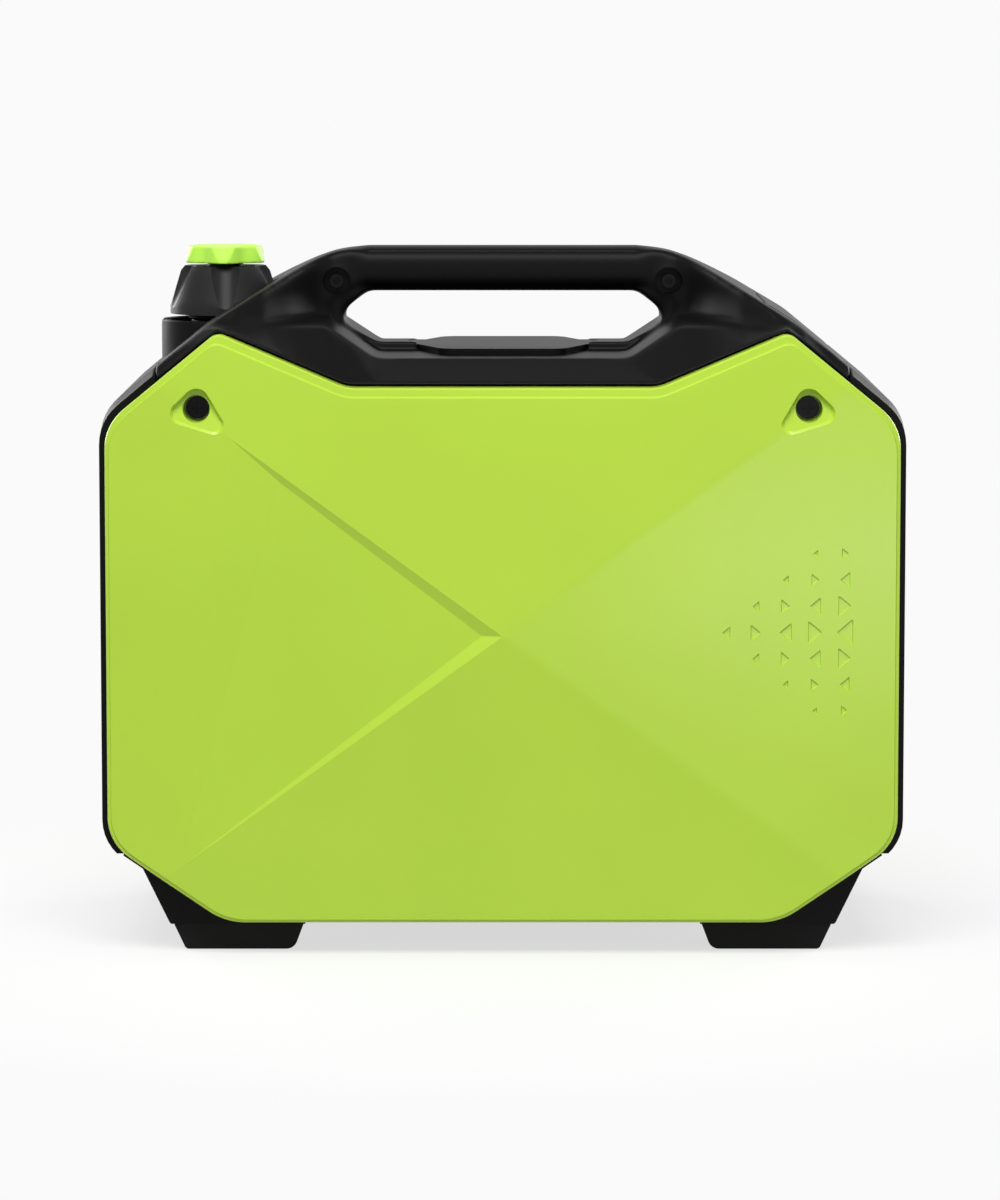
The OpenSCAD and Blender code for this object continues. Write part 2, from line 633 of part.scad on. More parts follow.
module muffler() color(steel) difference() {
    union() {
        block(152, 230, -85, 45, 70, 235);
        for (y = [-60, 20]) block(152, 157, y - 12, y + 12, floor_z, 71);
        rod_x(outlet_y, outlet_z, 229, half_l - 1, 12);
    }
    block(154, 228, -83, 43, 72, 233);
    rod_x(outlet_y, outlet_z, 220, half_l + 1, 10);
    translate([176, bore_y, 200]) cylinder(r = 10, h = 60);
}
pipe_points = [[crank_x - 22, bore_y, 251.5], [176, bore_y, 275], [176, bore_y, 215]];
module exhaust_pipe() color(steel) difference() {
    pipe(pipe_points, 12);
    pipe(pipe_points, 9.5);
    engine_frame() block(-80, 40, -70, 30, head_w - 30, cover_w + 40);
    block(100, 240, -85, 45, 100, 235);
}

// Alternator, cooling fan and recoil starter on the rear end of the crankshaft
module stator() color([0.7, 0.4, 0.2]) across(34, 62) translate([crank_x, crank_z]) difference() {
    circle(58);
    circle(14);
    for (i = [0:17]) rotate(i * 20) translate([47, 0]) circle(4.5, $fn = 24);
}
module flywheel_rotor() color(steel) difference() {
    rod_y(crank_x, crank_z, 26, 82, 72);
    rod_y(crank_x, crank_z, 25, 72, 61);
    rod_y(crank_x, crank_z, 20, 90, 8.55);
}
module cooling_fan() color(black) difference() {
    union() {
        rod_y(crank_x, crank_z, 82, 84.5, 70);
        for (i = [0:11]) translate([crank_x, 0, crank_z]) rotate([0, i * 30, 0])
            block(34, 69, 84, 98, -1.2, 1.2);
        ring_y(crank_x, crank_z, 84, 98, 30, 26);
    }
    rod_y(crank_x, crank_z, 80, 100, 8.55);
}
module fan_shroud() color(alloy) {
    ring_y(crank_x, crank_z, 20, 101, 79, 76);
    ring_y(crank_x, crank_z, 20, 23, 77, 29);
}
guide_y = 113.3;
module recoil_housing() color(black) {
    difference() {
        union() {
            rod_y(crank_x, crank_z, 101, 127, 50);
            rod_y(crank_x, crank_z, 101, 104, 79);
        }
        rod_y(crank_x, crank_z, 100, 124, 47);
        for (i = [0:11]) translate([crank_x, 0, crank_z]) rotate([0, i * 30, 0]) block(54, 72, 100, 105, -5, 5);
        block(grip_x - 5, grip_x + 5, 109, 119, crank_z, crank_z + 70);
    }
    rod_y(crank_x, crank_z, 106, 125, 8);
    rope_guide();
}
module rope_guide() difference() {
    translate([grip_x, guide_y, crank_z + 42]) cylinder(r = 5.2, h = grip_at_z - crank_z - 37);
    translate([grip_x, guide_y, crank_z]) cylinder(r = 2.4, h = grip_at_z - crank_z);
    rod_y(grip_x, grip_at_z, guide_y - 2, 130, 2.4);
}
module starter_reel() color(black) {
    ring_y(crank_x, crank_z, 107, 110, 40, 8.1);
    ring_y(crank_x, crank_z, 110, 118, reel_r + 6, 8.1);
    ring_y(crank_x, crank_z, 118, 121, 40, 8.1);
}
module starter_rope() color(rubber) rod_y(grip_x, grip_at_z, 112, 123, 2);
module starter_grip() color(black) {
    rod_y(grip_x, grip_at_z, 123, 130, 6);
    across(129, 143) translate([grip_x, grip_at_z]) rounded_plate(38, 11, 9);
}

// Inverter box with cooling ribs on the base pan
module inverter_unit() color(alloy) {
    block(-156, -84, -85, 85, floor_z, 80);
    for (i = [0:12]) block(-154, -86, -80 + i * 13.1, -77 + i * 13.1, 79, 95);
}

// Control end: a recessed plate with outlets, sockets, lamps and switches
face_x = -plate_x;
back_x = face_x + wall;
outlet_at = [[60, 206], [12, 206]];
dc_at = [60, 138];
usb_at = [14, 138];
switch_at = [-58, 208];
eco_at = [-60, 142];
breaker_at = [-26, 136];
ground_at = [-78, 114];
lamp_z = [238, 224, 210];
lamp_y = -23;
module at_plate(p) translate([0, p[0], p[1]]) children();

module control_plate() color(black) difference() {
    block(face_x, back_x, -well_y - wall, well_y + wall, well_low - wall, well_high + wall);
    for (p = outlet_at) at_plate(p) block(-half_l, 0, -17, 17, -17, 17);
    at_plate(dc_at) rod_x(0, 0, -half_l, 0, 14.2);
    at_plate(usb_at) block(-half_l, 0, -15, 15, -9, 9);
    at_plate(switch_at) rod_x(0, 0, -half_l, 0, 5.3);
    at_plate(eco_at) block(-half_l, 0, -6.6, 6.6, -10.6, 10.6);
    at_plate(breaker_at) rod_x(0, 0, -half_l, 0, 6.3);
    at_plate(ground_at) rod_x(0, 0, -half_l, 0, 3.1);
    for (z = lamp_z) rod_x(lamp_y, z, -half_l, 0, 3.1);
}
module ac_outlet() difference() {
    union() {
        along(face_x - 5, face_x) rounded_plate(21, 21, 6);
        block(face_x - 1, face_x + 28, -16.8, 16.8, -16.8, 16.8);
    }
    for (side = [-1, 1]) block(face_x - 6, face_x + 12, side * 6.4 - 1.1, side * 6.4 + 1.1, -1, 8);
    rod_x(0, -8, face_x - 6, face_x + 12, 2.6);
}
module ac_outlets() color(black) for (p = outlet_at) at_plate(p) ac_outlet();
flap_x = face_x - 10.6;
flap_z = 20;
module dc_socket() color(black) at_plate(dc_at) difference() {
    union() {
        rod_x(0, 0, face_x - 8, face_x, 17);
        rod_x(0, 0, face_x - 1, face_x + 36, 14);
        for (side = [-1, 1]) across(side * 9.8 - 1.4, side * 9.8 + 1.4)
            polygon(box_2d(flap_x - 3, 12, face_x, flap_z + 3));
    }
    rod_x(0, 0, face_x - 9, face_x + 33, 10.5);
    rod_y(flap_x, flap_z, -12, 12, 1.55);
    block(flap_x - 4, face_x - 8, -12, 12, 0, 15.5);
}
module dc_flap() color(rubber) at_plate(dc_at) {
    along(flap_x - 1.2, flap_x + 2) {
        circle(15);
        translate([-8, 0]) square([16, flap_z]);
    }
    rod_y(flap_x, flap_z, -8, 8, 2);
    rod_y(flap_x, flap_z, -11, 11, 1.5);
}
module usb_ports() color(steel) at_plate(usb_at) difference() {
    union() {
        along(face_x - 3, face_x) rounded_plate(18, 12, 3);
        block(face_x - 1, face_x + 18, -14.8, 14.8, -8.8, 8.8);
    }
    for (y = [-7.5, 7.5]) difference() {
        block(face_x - 4, face_x + 10, y - 3, y + 3, -6.5, 6.5);
        block(face_x - 2, face_x + 11, y - 0.2, y + 2, -5.5, 5.5);
    }
}
module indicator_lamps() color([0.9, 0.3, 0.2]) for (z = lamp_z) {
    rod_x(lamp_y, z, face_x - 2, face_x + 8, 3);
}
module engine_switch() color(black) at_plate(switch_at) {
    difference() {
        rod_x(0, 0, face_x - 18, face_x - 1, 23);
        for (side = [-1, 1]) translate([0, side * 17, 0]) block(face_x - 19, face_x - 6, -10, 10, -30, 30);
    }
    rod_x(0, 0, face_x - 2, face_x + 14, 5.2);
}
module eco_switch() color(black) at_plate(eco_at) intersection() {
    rod_y(face_x + 1, 0, -6, 6, 10);
    across(-6, 6) polygon([[face_x + 12, -12], [face_x - 5, -12], [face_x - 8, 0], [face_x - 10, 12],
        [face_x + 12, 12]]);
}
module breaker_button() color(black) at_plate(breaker_at) {
    rod_x(0, 0, face_x - 6, face_x + 10, 6.2);
}
module ground_terminal() color(steel) at_plate(ground_at) {
    rod_x(0, 0, face_x - 14, face_x + 12, 3);
    translate([face_x - 6, 0, 0]) rotate([0, 90, 0]) difference() {
        cylinder(r = 7, h = 6, $fn = 6);
        translate([0, 0, -1]) cylinder(r = 3, h = 8);
    }
}

base_pan();
rubber_feet();
front_side_panel();
rear_side_panel();
panel_screws();
front_handle_half();
rear_handle_half();
handle_bolts();
handle_nuts();
control_end_cover();
exhaust_end_cover();
cover_screws();
spark_plug_cover();
filler_collar();
fuel_cap();
cap_core();
cap_gasket();
vent_knob();
control_plate();
ac_outlets();
dc_socket();
dc_flap();
usb_ports();
indicator_lamps();
engine_switch();
eco_switch();
breaker_button();
ground_terminal();
fuel_tank();
fuel_hose();
engine_mounts();
crankcase();
crankcase_cover();
cylinder_block();
cylinder_head();
valve_cover();
crankshaft();
main_bearings();
connecting_rod();
gudgeon_pin();
piston();
oil_filler_cap();
spark_plug();
spark_plug_boot();
carburettor();
throttle_valve();
choke_valve();
air_box();
air_filter();
muffler();
exhaust_pipe();
stator();
flywheel_rotor();
cooling_fan();
fan_shroud();
recoil_housing();
starter_reel();
starter_rope();
starter_grip();
inverter_unit();
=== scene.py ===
# %% [markdown]
# # A suitcase inverter generator
# A small petrol engine, an alternator and an inverter sit in a plastic case with one carrying
# handle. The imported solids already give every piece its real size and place. This lesson dresses
# them: softer moulded forms where a solid is too plain, a finish for every material, plain studio
# light and a camera where the photographer stood.

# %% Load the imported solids
import json
import math

import bmesh
import bpy
from mathutils import Matrix, Vector
from mathutils.geometry import delaunay_2d_cdt


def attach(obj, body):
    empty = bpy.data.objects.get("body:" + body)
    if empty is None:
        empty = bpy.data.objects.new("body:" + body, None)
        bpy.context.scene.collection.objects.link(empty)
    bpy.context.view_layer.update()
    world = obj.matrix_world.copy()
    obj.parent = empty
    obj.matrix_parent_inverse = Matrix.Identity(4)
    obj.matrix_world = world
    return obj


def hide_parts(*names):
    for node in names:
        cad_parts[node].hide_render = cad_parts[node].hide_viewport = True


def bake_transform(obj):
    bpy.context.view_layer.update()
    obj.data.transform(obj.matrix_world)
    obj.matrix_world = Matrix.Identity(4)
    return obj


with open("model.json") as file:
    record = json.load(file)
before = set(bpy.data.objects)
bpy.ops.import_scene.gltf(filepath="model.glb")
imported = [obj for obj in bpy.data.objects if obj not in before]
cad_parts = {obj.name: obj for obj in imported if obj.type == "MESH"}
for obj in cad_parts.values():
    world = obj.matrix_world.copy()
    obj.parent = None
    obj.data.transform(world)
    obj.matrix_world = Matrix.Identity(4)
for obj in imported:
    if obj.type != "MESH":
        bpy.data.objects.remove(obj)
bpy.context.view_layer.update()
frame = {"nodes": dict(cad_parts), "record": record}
nodes = frame["nodes"]
slot_of = {part["node"]: part["material_slot"] for part in frame["record"]["subparts"]}

# %% [markdown]
# ## Camera
# The photograph looks straight at the long side from about three metres and a little above, with a
# long lens, so the panel shows almost no perspective. A small downward tilt gives the thin view on
# to the deck under the grip.

# %% Set the camera
CAMERA_PLACE = (0, -3.1037, 0.5798)
CAMERA_TILT = 6.129
CAMERA_LENS, SENSOR_WIDTH = 144.94, 36
CAMERA_SHIFT = (-0.0022, -0.05)
camera_data = bpy.data.cameras.new("product_camera")
camera_data.sensor_width = SENSOR_WIDTH
camera_data.lens = CAMERA_LENS
camera_data.shift_x, camera_data.shift_y = CAMERA_SHIFT
camera = bpy.data.objects.new("product_camera", camera_data)
camera.location = CAMERA_PLACE
camera.rotation_euler = (math.radians(90 - CAMERA_TILT), 0, 0)
bpy.context.collection.objects.link(camera)
bpy.context.scene.camera = camera
print("camera at", CAMERA_PLACE, "lens", CAMERA_LENS)

# %% [markdown]
# ## Light
# A product studio is a pale room with one large soft lamp overhead. The camera and the reflections
# see the backdrop, which turns into a dim ceiling in reflections from high above. The room itself
# gives only weak light from all sides, so black plastic stays black on its upper slopes. The
# overhead lamp makes the upper facets brighter than the lower ones, a low strip on the right lays a
# pale veil over the right facet, and two lamps behind light the back.

# %% Light the studio
WHITE = (1, 1, 1, 1)
BACKDROP = (0.955, 0.955, 0.955, 1)
ROOM_LIGHT = 0.34
CEILING = (0.5, 0.9)


def link(tree, source, target):
    tree.links.new(source, target)


def seen_directly(tree):
    """1 for rays of the camera, reflections and glass, and 0 for the light that falls on a surface."""
    path = tree.nodes.new("ShaderNodeLightPath")
    seen = path.outputs["Is Camera Ray"]
    for ray in ("Is Glossy Ray", "Is Transmission Ray"):
        either = tree.nodes.new("ShaderNodeMath")
        either.operation = "MAXIMUM"
        link(tree, seen, either.inputs[0])
        link(tree, path.outputs[ray], either.inputs[1])
        seen = either.outputs[0]
    return seen


def mixed(tree, share, first, second):
    """The first shader where share is 0 and the second where it is 1."""
    mix = tree.nodes.new("ShaderNodeMixShader")
    link(tree, share, mix.inputs[0])
    link(tree, first, mix.inputs[1])
    link(tree, second, mix.inputs[2])
    return mix.outputs[0]


def glow(tree, kind, color, strength):
    node = tree.nodes.new(kind)
    node.inputs["Color"].default_value = color
    node.inputs["Strength"].default_value = strength
    return node.outputs[0]


def below_ceiling(tree):
    """1 up to the top of the backdrop, falling to 0 towards the ceiling, and always 1 for the camera."""
    coords = tree.nodes.new("ShaderNodeTexCoord")
    parts = tree.nodes.new("ShaderNodeSeparateXYZ")
    link(tree, coords.outputs["Generated"], parts.inputs[0])
    fall = tree.nodes.new("ShaderNodeMapRange")
    fall.inputs["From Min"].default_value = CEILING[1]
    fall.inputs["From Max"].default_value = CEILING[0]
    link(tree, parts.outputs["Z"], fall.inputs["Value"])
    path = tree.nodes.new("ShaderNodeLightPath")
    either = tree.nodes.new("ShaderNodeMath")
    either.operation = "MAXIMUM"
    link(tree, fall.outputs["Result"], either.inputs[0])
    link(tree, path.outputs["Is Camera Ray"], either.inputs[1])
    return either.outputs[0]


def build_world():
    world = bpy.data.worlds.new("white_studio")
    world.use_nodes = True
    tree = world.node_tree
    tree.nodes.clear()
    room = glow(tree, "ShaderNodeBackground", WHITE, ROOM_LIGHT)
    backdrop = glow(tree, "ShaderNodeBackground", BACKDROP, 1.0)
    shown = tree.nodes.new("ShaderNodeMath")
    shown.operation = "MULTIPLY"
    link(tree, seen_directly(tree), shown.inputs[0])
    link(tree, below_ceiling(tree), shown.inputs[1])
    out = tree.nodes.new("ShaderNodeOutputWorld")
    link(tree, mixed(tree, shown.outputs[0], room, backdrop), out.inputs["Surface"])
    bpy.context.scene.world = world


def soft_lamp(name, place, aim, size, power):
    """A rectangular lamp that faces a point, with its size in metres and its power in watts."""
    data = bpy.data.lights.new(name, "AREA")
    data.shape = "RECTANGLE"
    data.size, data.size_y = size
    data.energy = power
    lamp = bpy.data.objects.new(name, data)
    lamp.location = place
    lamp.rotation_euler = (Vector(aim) - Vector(place)).to_track_quat("-Z", "Y").to_euler()
    lamp.visible_camera = False
    bpy.context.collection.objects.link(lamp)


BODY_MIDDLE = (0, 0, 0.22)
RIGHT_FACET = (0.17, -0.14, 0.2)
LAMPS = [
    ("overhead_softbox", (-0.2, -1.6, 2.4), BODY_MIDDLE, (2.2, 1.2), 74),
    ("low_right_strip", (0.5, -1.7, 0.075), RIGHT_FACET, (0.5, 0.14), 1.3),
    ("rear_softbox", (-1.9, 1.9, 0.9), BODY_MIDDLE, (1.2, 1.2), 34),
    ("rear_softbox", (1.9, 1.9, 0.9), BODY_MIDDLE, (1.2, 1.2), 34),
]
build_world()
for lamp in LAMPS:
    soft_lamp(*lamp)
bpy.context.scene.view_settings.view_transform = "Standard"

# %% [markdown]
# ## Floor
# The object stands on a white sweep. Close to the feet the floor keeps a part of the soft contact
# shadow, and it fades into the backdrop further out, so no edge of it shows. Light that bounces off
# it is as weak as the room's.

# %% Lay the floor
FLOOR_RADIUS, FLOOR_SIDES = 2.2, 96
FLOOR_DROP = 0.0004
FLOOR_PAINT = (0.93, 0.93, 0.93, 1)
SHADOW_REACH = (0.26, 0.55)
SHADOW_SHARE = 0.30


def floor_material():
    material = bpy.data.materials.new("white_sweep")
    material.use_nodes = True
    tree = material.node_tree
    tree.nodes.clear()
    place = tree.nodes.new("ShaderNodeNewGeometry")
    length = tree.nodes.new("ShaderNodeVectorMath")
    length.operation = "LENGTH"
    link(tree, place.outputs["Position"], length.inputs[0])
    fade = tree.nodes.new("ShaderNodeMapRange")
    fade.inputs["From Min"].default_value = SHADOW_REACH[0]
    fade.inputs["From Max"].default_value = SHADOW_REACH[1]
    fade.inputs["To Min"].default_value = 1 - SHADOW_SHARE
    link(tree, length.outputs["Value"], fade.inputs["Value"])
    shadowed = tree.nodes.new("ShaderNodeBsdfDiffuse")
    shadowed.inputs["Color"].default_value = FLOOR_PAINT
    room = glow(tree, "ShaderNodeEmission", WHITE, ROOM_LIGHT)
    backdrop = glow(tree, "ShaderNodeEmission", BACKDROP, 1.0)
    plain = mixed(tree, seen_directly(tree), room, backdrop)
    out = tree.nodes.new("ShaderNodeOutputMaterial")
    link(tree, mixed(tree, fade.outputs["Result"], shadowed.outputs[0], plain), out.inputs["Surface"])
    return material


def build_floor():
    mesh = bpy.data.meshes.new("studio_floor")
    disc = bmesh.new()
    bmesh.ops.create_circle(disc, cap_ends=True, segments=FLOOR_SIDES, radius=FLOOR_RADIUS)
    disc.to_mesh(mesh)
    disc.free()
    floor = bpy.data.objects.new("studio_floor", mesh)
    floor.location = (0, 0, -FLOOR_DROP)
    bpy.context.collection.objects.link(floor)
    mesh.materials.append(floor_material())


build_floor()
print("floor radius", FLOOR_RADIUS, "m")

# %% [markdown]
# ## Shared surface effects
# Moulded plastic takes the fine grain of its mould, and cast or drawn metal carries faint lines.
# Each effect is one node group with its own inputs, so every material can use it at its own
# strength. The groups put out only colours, values and heights; the shader itself stays in the
# material.

# %% Build the grain group
GRAIN_DETAIL = 3.0
BROAD_DETAIL, BROAD_SCALE = 2.0, 9.0
BROAD_TINT = (0.955, 1.045)


def new_group(name, inputs, outputs):
    group = bpy.data.node_groups.new(name, "ShaderNodeTree")
    for label, kind, value in inputs:
        socket = group.interface.new_socket(label, in_out="INPUT", socket_type=kind)
        socket.default_value = value
    for label, kind in outputs:
        group.interface.new_socket(label, in_out="OUTPUT", socket_type=kind)
    return group, group.nodes.new("NodeGroupInput"), group.nodes.new("NodeGroupOutput")


def noise(tree, detail, scale_socket=None, scale=1.0, stretch=(1, 1, 1)):
    coords = tree.nodes.new("ShaderNodeTexCoord")
    mapping = tree.nodes.new("ShaderNodeMapping")
    mapping.inputs["Scale"].default_value = stretch
    link(tree, coords.outputs["Object"], mapping.inputs["Vector"])
    texture = tree.nodes.new("ShaderNodeTexNoise")
    texture.inputs["Detail"].default_value = detail
    texture.inputs["Scale"].default_value = scale
    link(tree, mapping.outputs["Vector"], texture.inputs["Vector"])
    if scale_socket:
        link(tree, scale_socket, texture.inputs["Scale"])
    return texture.outputs["Fac"]


def remap(tree, value, low, high):
    """A 0 to 1 value moved to the range from one socket or number to another."""
    node = tree.nodes.new("ShaderNodeMapRange")
    link(tree, value, node.inputs["Value"])
    for key, bound in (("To Min", low), ("To Max", high)):
        if isinstance(bound, (int, float)):
            node.inputs[key].default_value = bound
        else:
            link(tree, bound, node.inputs[key])
    return node.outputs["Result"]


def tinted(tree, color, dark, light, value):
    """A colour made darker and lighter along a 0 to 1 value."""
    shade = remap(tree, value, dark, light)
    scale = tree.nodes.new("ShaderNodeVectorMath")
    scale.operation = "SCALE"
    link(tree, color, scale.inputs[0])
    link(tree, shade, scale.inputs["Scale"])
    return scale.outputs["Vector"]


def build_grain():
    group, given, result = new_group(
        "mould_grain",
        [("Color", "NodeSocketColor", WHITE), ("Grain Scale", "NodeSocketFloat", 900.0),
         ("Rough Low", "NodeSocketFloat", 0.3), ("Rough High", "NodeSocketFloat", 0.4)],
        [("Color", "NodeSocketColor"), ("Roughness", "NodeSocketFloat"), ("Height", "NodeSocketFloat")])
    fine = noise(group, GRAIN_DETAIL, given.outputs["Grain Scale"])
    broad = noise(group, BROAD_DETAIL, scale=BROAD_SCALE)
    link(group, tinted(group, given.outputs["Color"], *BROAD_TINT, broad), result.inputs["Color"])
    rough = remap(group, broad, given.outputs["Rough Low"], given.outputs["Rough High"])
    link(group, rough, result.inputs["Roughness"])
    link(group, fine, result.inputs["Height"])
    return group


mould_grain = build_grain()
print("group", mould_grain.name)

# %% Build the drawn-line group
LINE_DETAIL, LINE_STRETCH = 4.0, (1, 14, 1)
PATCH_DETAIL, PATCH_SCALE = 3.0, 35.0
PATCH_TINT = (0.82, 1.08)


def build_lines():
    group, given, result = new_group(
        "drawn_lines",
        [("Color", "NodeSocketColor", WHITE), ("Line Scale", "NodeSocketFloat", 60.0),
         ("Rough Low", "NodeSocketFloat", 0.25), ("Rough High", "NodeSocketFloat", 0.45)],
        [("Color", "NodeSocketColor"), ("Roughness", "NodeSocketFloat"), ("Height", "NodeSocketFloat")])
    lines = noise(group, LINE_DETAIL, given.outputs["Line Scale"], stretch=LINE_STRETCH)
    patches = noise(group, PATCH_DETAIL, scale=PATCH_SCALE)
    link(group, tinted(group, given.outputs["Color"], *PATCH_TINT, patches), result.inputs["Color"])
    rough = remap(group, lines, given.outputs["Rough Low"], given.outputs["Rough High"])
    link(group, rough, result.inputs["Roughness"])
    link(group, lines, result.inputs["Height"])
    return group


drawn_lines = build_lines()
print("group", drawn_lines.name)

# %% [markdown]
# ## Materials
# One material for each finish of the record, and a paler black for the fuel cap: its brighter base
# colour is a painted highlight for the light from above that the cap's sloping sides catch. A finish
# is a colour, a roughness range, a grain and the strength of its bump. Values that are the same all
# over sit on the shader's own sockets.

# %% Build the materials
FINE_BUMP, FOAM_BUMP = 0.00004, 0.0004
COAT_ROUGHNESS = 0.08


def finish(name, group, color, rough, scale, bump, depth=FINE_BUMP, metallic=0.0, specular=0.5,
           coat=0.0):
    material = bpy.data.materials.new(name)
    material.use_nodes = True
    tree = material.node_tree
    shader = tree.nodes["Principled BSDF"]
    effect = tree.nodes.new("ShaderNodeGroup")
    effect.node_tree = group
    effect.inputs["Color"].default_value = (*color, 1)
    effect.inputs[1].default_value = scale
    effect.inputs["Rough Low"].default_value = rough[0]
    effect.inputs["Rough High"].default_value = rough[1]
    link(tree, effect.outputs["Color"], shader.inputs["Base Color"])
    link(tree, effect.outputs["Roughness"], shader.inputs["Roughness"])
    height = tree.nodes.new("ShaderNodeBump")
    height.inputs["Strength"].default_value = bump
    height.inputs["Distance"].default_value = depth
    link(tree, effect.outputs["Height"], height.inputs["Height"])
    link(tree, height.outputs["Normal"], shader.inputs["Normal"])
    shader.inputs["Metallic"].default_value = metallic
    shader.inputs["Specular IOR Level"].default_value = specular
    shader.inputs["Coat Weight"].default_value = coat
    shader.inputs["Coat Roughness"].default_value = COAT_ROUGHNESS
    return material


materials = {
    "green_plastic": finish("green_panel_plastic", mould_grain, (0.455, 0.68, 0.043), (0.21, 0.25),
                            700, 0.05, specular=0.45),
    "lime_plastic": finish("lime_knob_plastic", mould_grain, (0.53, 0.99, 0.10), (0.38, 0.46),
                           1200, 0.2, specular=0.35),
    "black_plastic": finish("black_shell_plastic", mould_grain, (0.0045, 0.0045, 0.0045), (0.38, 0.46),
                            1500, 0.5, specular=0.08),
    # painted highlight: the same black plastic made paler, for the light the fuel cap's sloping sides
    # catch
    "cap_plastic": finish("cap_black_painted_light", mould_grain, (0.016, 0.016, 0.016), (0.34, 0.42),
                          1500, 0.5, specular=0.14),
    "black_rubber": finish("black_rubber", mould_grain, (0.006, 0.006, 0.006), (0.62, 0.75),
                           1100, 0.8, specular=0.14),
    "black_steel": finish("black_oxide_steel", drawn_lines, (0.003, 0.003, 0.0033), (0.20, 0.30),
                          240, 0.3, specular=0.12),
    "bare_steel": finish("zinc_plated_steel", drawn_lines, (0.40, 0.41, 0.43), (0.24, 0.40),
                         220, 0.3, metallic=1.0),
    "brass_fitting": finish("turned_brass", drawn_lines, (0.66, 0.48, 0.19), (0.22, 0.36),
                            260, 0.3, metallic=1.0),
    "cast_alloy": finish("die_cast_alloy", mould_grain, (0.48, 0.49, 0.50), (0.42, 0.58),
                         900, 0.9, metallic=1.0),
    "hot_steel": finish("heat_proof_coating", mould_grain, (0.13, 0.125, 0.12), (0.52, 0.68), 1300, 0.8),
    "lamp_glass": finish("lamp_lens", mould_grain, (0.55, 0.62, 0.48), (0.08, 0.16), 500, 0.1, coat=0.6),
    "rope_fibre": finish("braided_rope", drawn_lines, (0.55, 0.55, 0.52), (0.75, 0.9),
                         700, 0.9, specular=0.2),
    "filter_foam": finish("open_cell_foam", mould_grain, (0.035, 0.035, 0.036), (0.85, 0.95),
                          420, 1.0, depth=FOAM_BUMP, specular=0.1),
}
print("materials:", sorted(materials))

# %% [markdown]
# ## Dress the solids
# A solid from CAD has razor-sharp edges that no moulded or cast piece has. A weld joins the mesh, a
# small bevel rounds every hard edge, and weighted normals keep the flat faces flat. The width
# follows the size of the piece. The vent knob is round all over, so it gets a smoothed skin in
# place of a bevel.

# %% Soften and paint every solid
EDGE = 0.0005
EDGE_OF = {
    "rubber_feet": 0.0008, "base_pan": 0.0008, "dc_flap": 0.0008, "filler_collar": 0.0010,
    "control_end_cover": 0.0012, "exhaust_end_cover": 0.0012, "spark_plug_cover": 0.0012,
    "fuel_cap": 0.0013, "engine_switch": 0.0014, "fuel_tank": 0.0020, "muffler": 0.0020,
    "air_box": 0.0025, "starter_grip": 0.0030,
}
BEVEL_STEPS = 2
HARD_EDGE, FLAT_FACE = math.radians(28), math.radians(0.5)
SAME_POINT = 0.00002
FULL_OF_HOLES = ["control_plate"]
# the fuel cap takes the paler black, a painted highlight for the light on its sloping sides
PAINT_OF = {"fuel_cap": "cap_plastic"}
ROUND_VOXEL = 0.0006
ROUND_PASSES = {"vent_knob": 9}
SMOOTHING = 0.5


def join_corners(piece):
    weld = piece.modifiers.new("join", "WELD")
    weld.merge_threshold = SAME_POINT


def merge_flats(piece):
    """Joins the triangles of each flat face, so that a face full of holes takes its bevel cleanly."""
    flats = piece.modifiers.new("flats", "DECIMATE")
    flats.decimate_type = "DISSOLVE"
    flats.angle_limit = FLAT_FACE


def soften(piece, width):
    bevel = piece.modifiers.new("soft_edge", "BEVEL")
    bevel.width = width
    bevel.segments = BEVEL_STEPS
    bevel.limit_method = "ANGLE"
    bevel.angle_limit = HARD_EDGE
    bevel.use_clamp_overlap = True
    bevel.miter_outer = "MITER_ARC"
    normals = piece.modifiers.new("flat_faces", "WEIGHTED_NORMAL")
    normals.keep_sharp = False


def add_skin(piece, voxel):
    """One closed skin of small, even faces."""
    skin = piece.modifiers.new("skin", "REMESH")
    skin.mode = "VOXEL"
    skin.voxel_size = voxel
    skin.use_smooth_shade = True


def add_smoothing(piece, passes, group=""):
    soft = piece.modifiers.new("soft_folds", "SMOOTH")
    soft.factor = SMOOTHING
    soft.iterations = passes
    soft.vertex_group = group


def paint(piece, slot):
    piece.data.materials.clear()
    piece.data.materials.append(materials[slot])


for name, solid in nodes.items():
    paint(solid, PAINT_OF.get(name, slot_of[name]))
    if name in ROUND_PASSES:
        add_skin(solid, ROUND_VOXEL)
        add_smoothing(solid, ROUND_PASSES[name])
        continue
    join_corners(solid)
    if name in FULL_OF_HOLES:
        merge_flats(solid)
    soften(solid, EDGE_OF.get(name, EDGE))
print("dressed solids:", len(nodes))

# %% [markdown]
# ## Side panels
# The two green panels are thin moulded shells. Four very flat facets rise to a crown, the left one
# is sunk, and small pockets and dimples are pressed in. A grid would blur the creases, so the front
# is laid out as loops and lines in the flat outline, filled by a constrained triangulation, and
# every point is then lifted to its height.

# %% Outline tools for flat shapes
MM = 0.001
ARC_STEPS = 9


def unit(x, y):
    length = math.hypot(x, y)
    return x / length, y / length


def fillet(a, b, c, r, steps=ARC_STEPS):
    """Points of the arc that rounds corner b between a and c."""
    u = unit(a[0] - b[0], a[1] - b[1])
    w = unit(c[0] - b[0], c[1] - b[1])
    half = math.acos(u[0] * w[0] + u[1] * w[1]) / 2
    bisector = unit(u[0] + w[0], u[1] + w[1])
    reach = r / math.sin(half)
    cut = r / math.tan(half)
    middle = (b[0] + bisector[0] * reach, b[1] + bisector[1] * reach)
    start = math.atan2(b[1] + u[1] * cut - middle[1], b[0] + u[0] * cut - middle[0])
    end = math.atan2(b[1] + w[1] * cut - middle[1], b[0] + w[0] * cut - middle[0])
    sweep = (end - start + 3 * math.pi) % (2 * math.pi) - math.pi
    turns = [start + sweep * i / steps for i in range(steps + 1)]
    return [(middle[0] + r * math.cos(t), middle[1] + r * math.sin(t)) for t in turns]


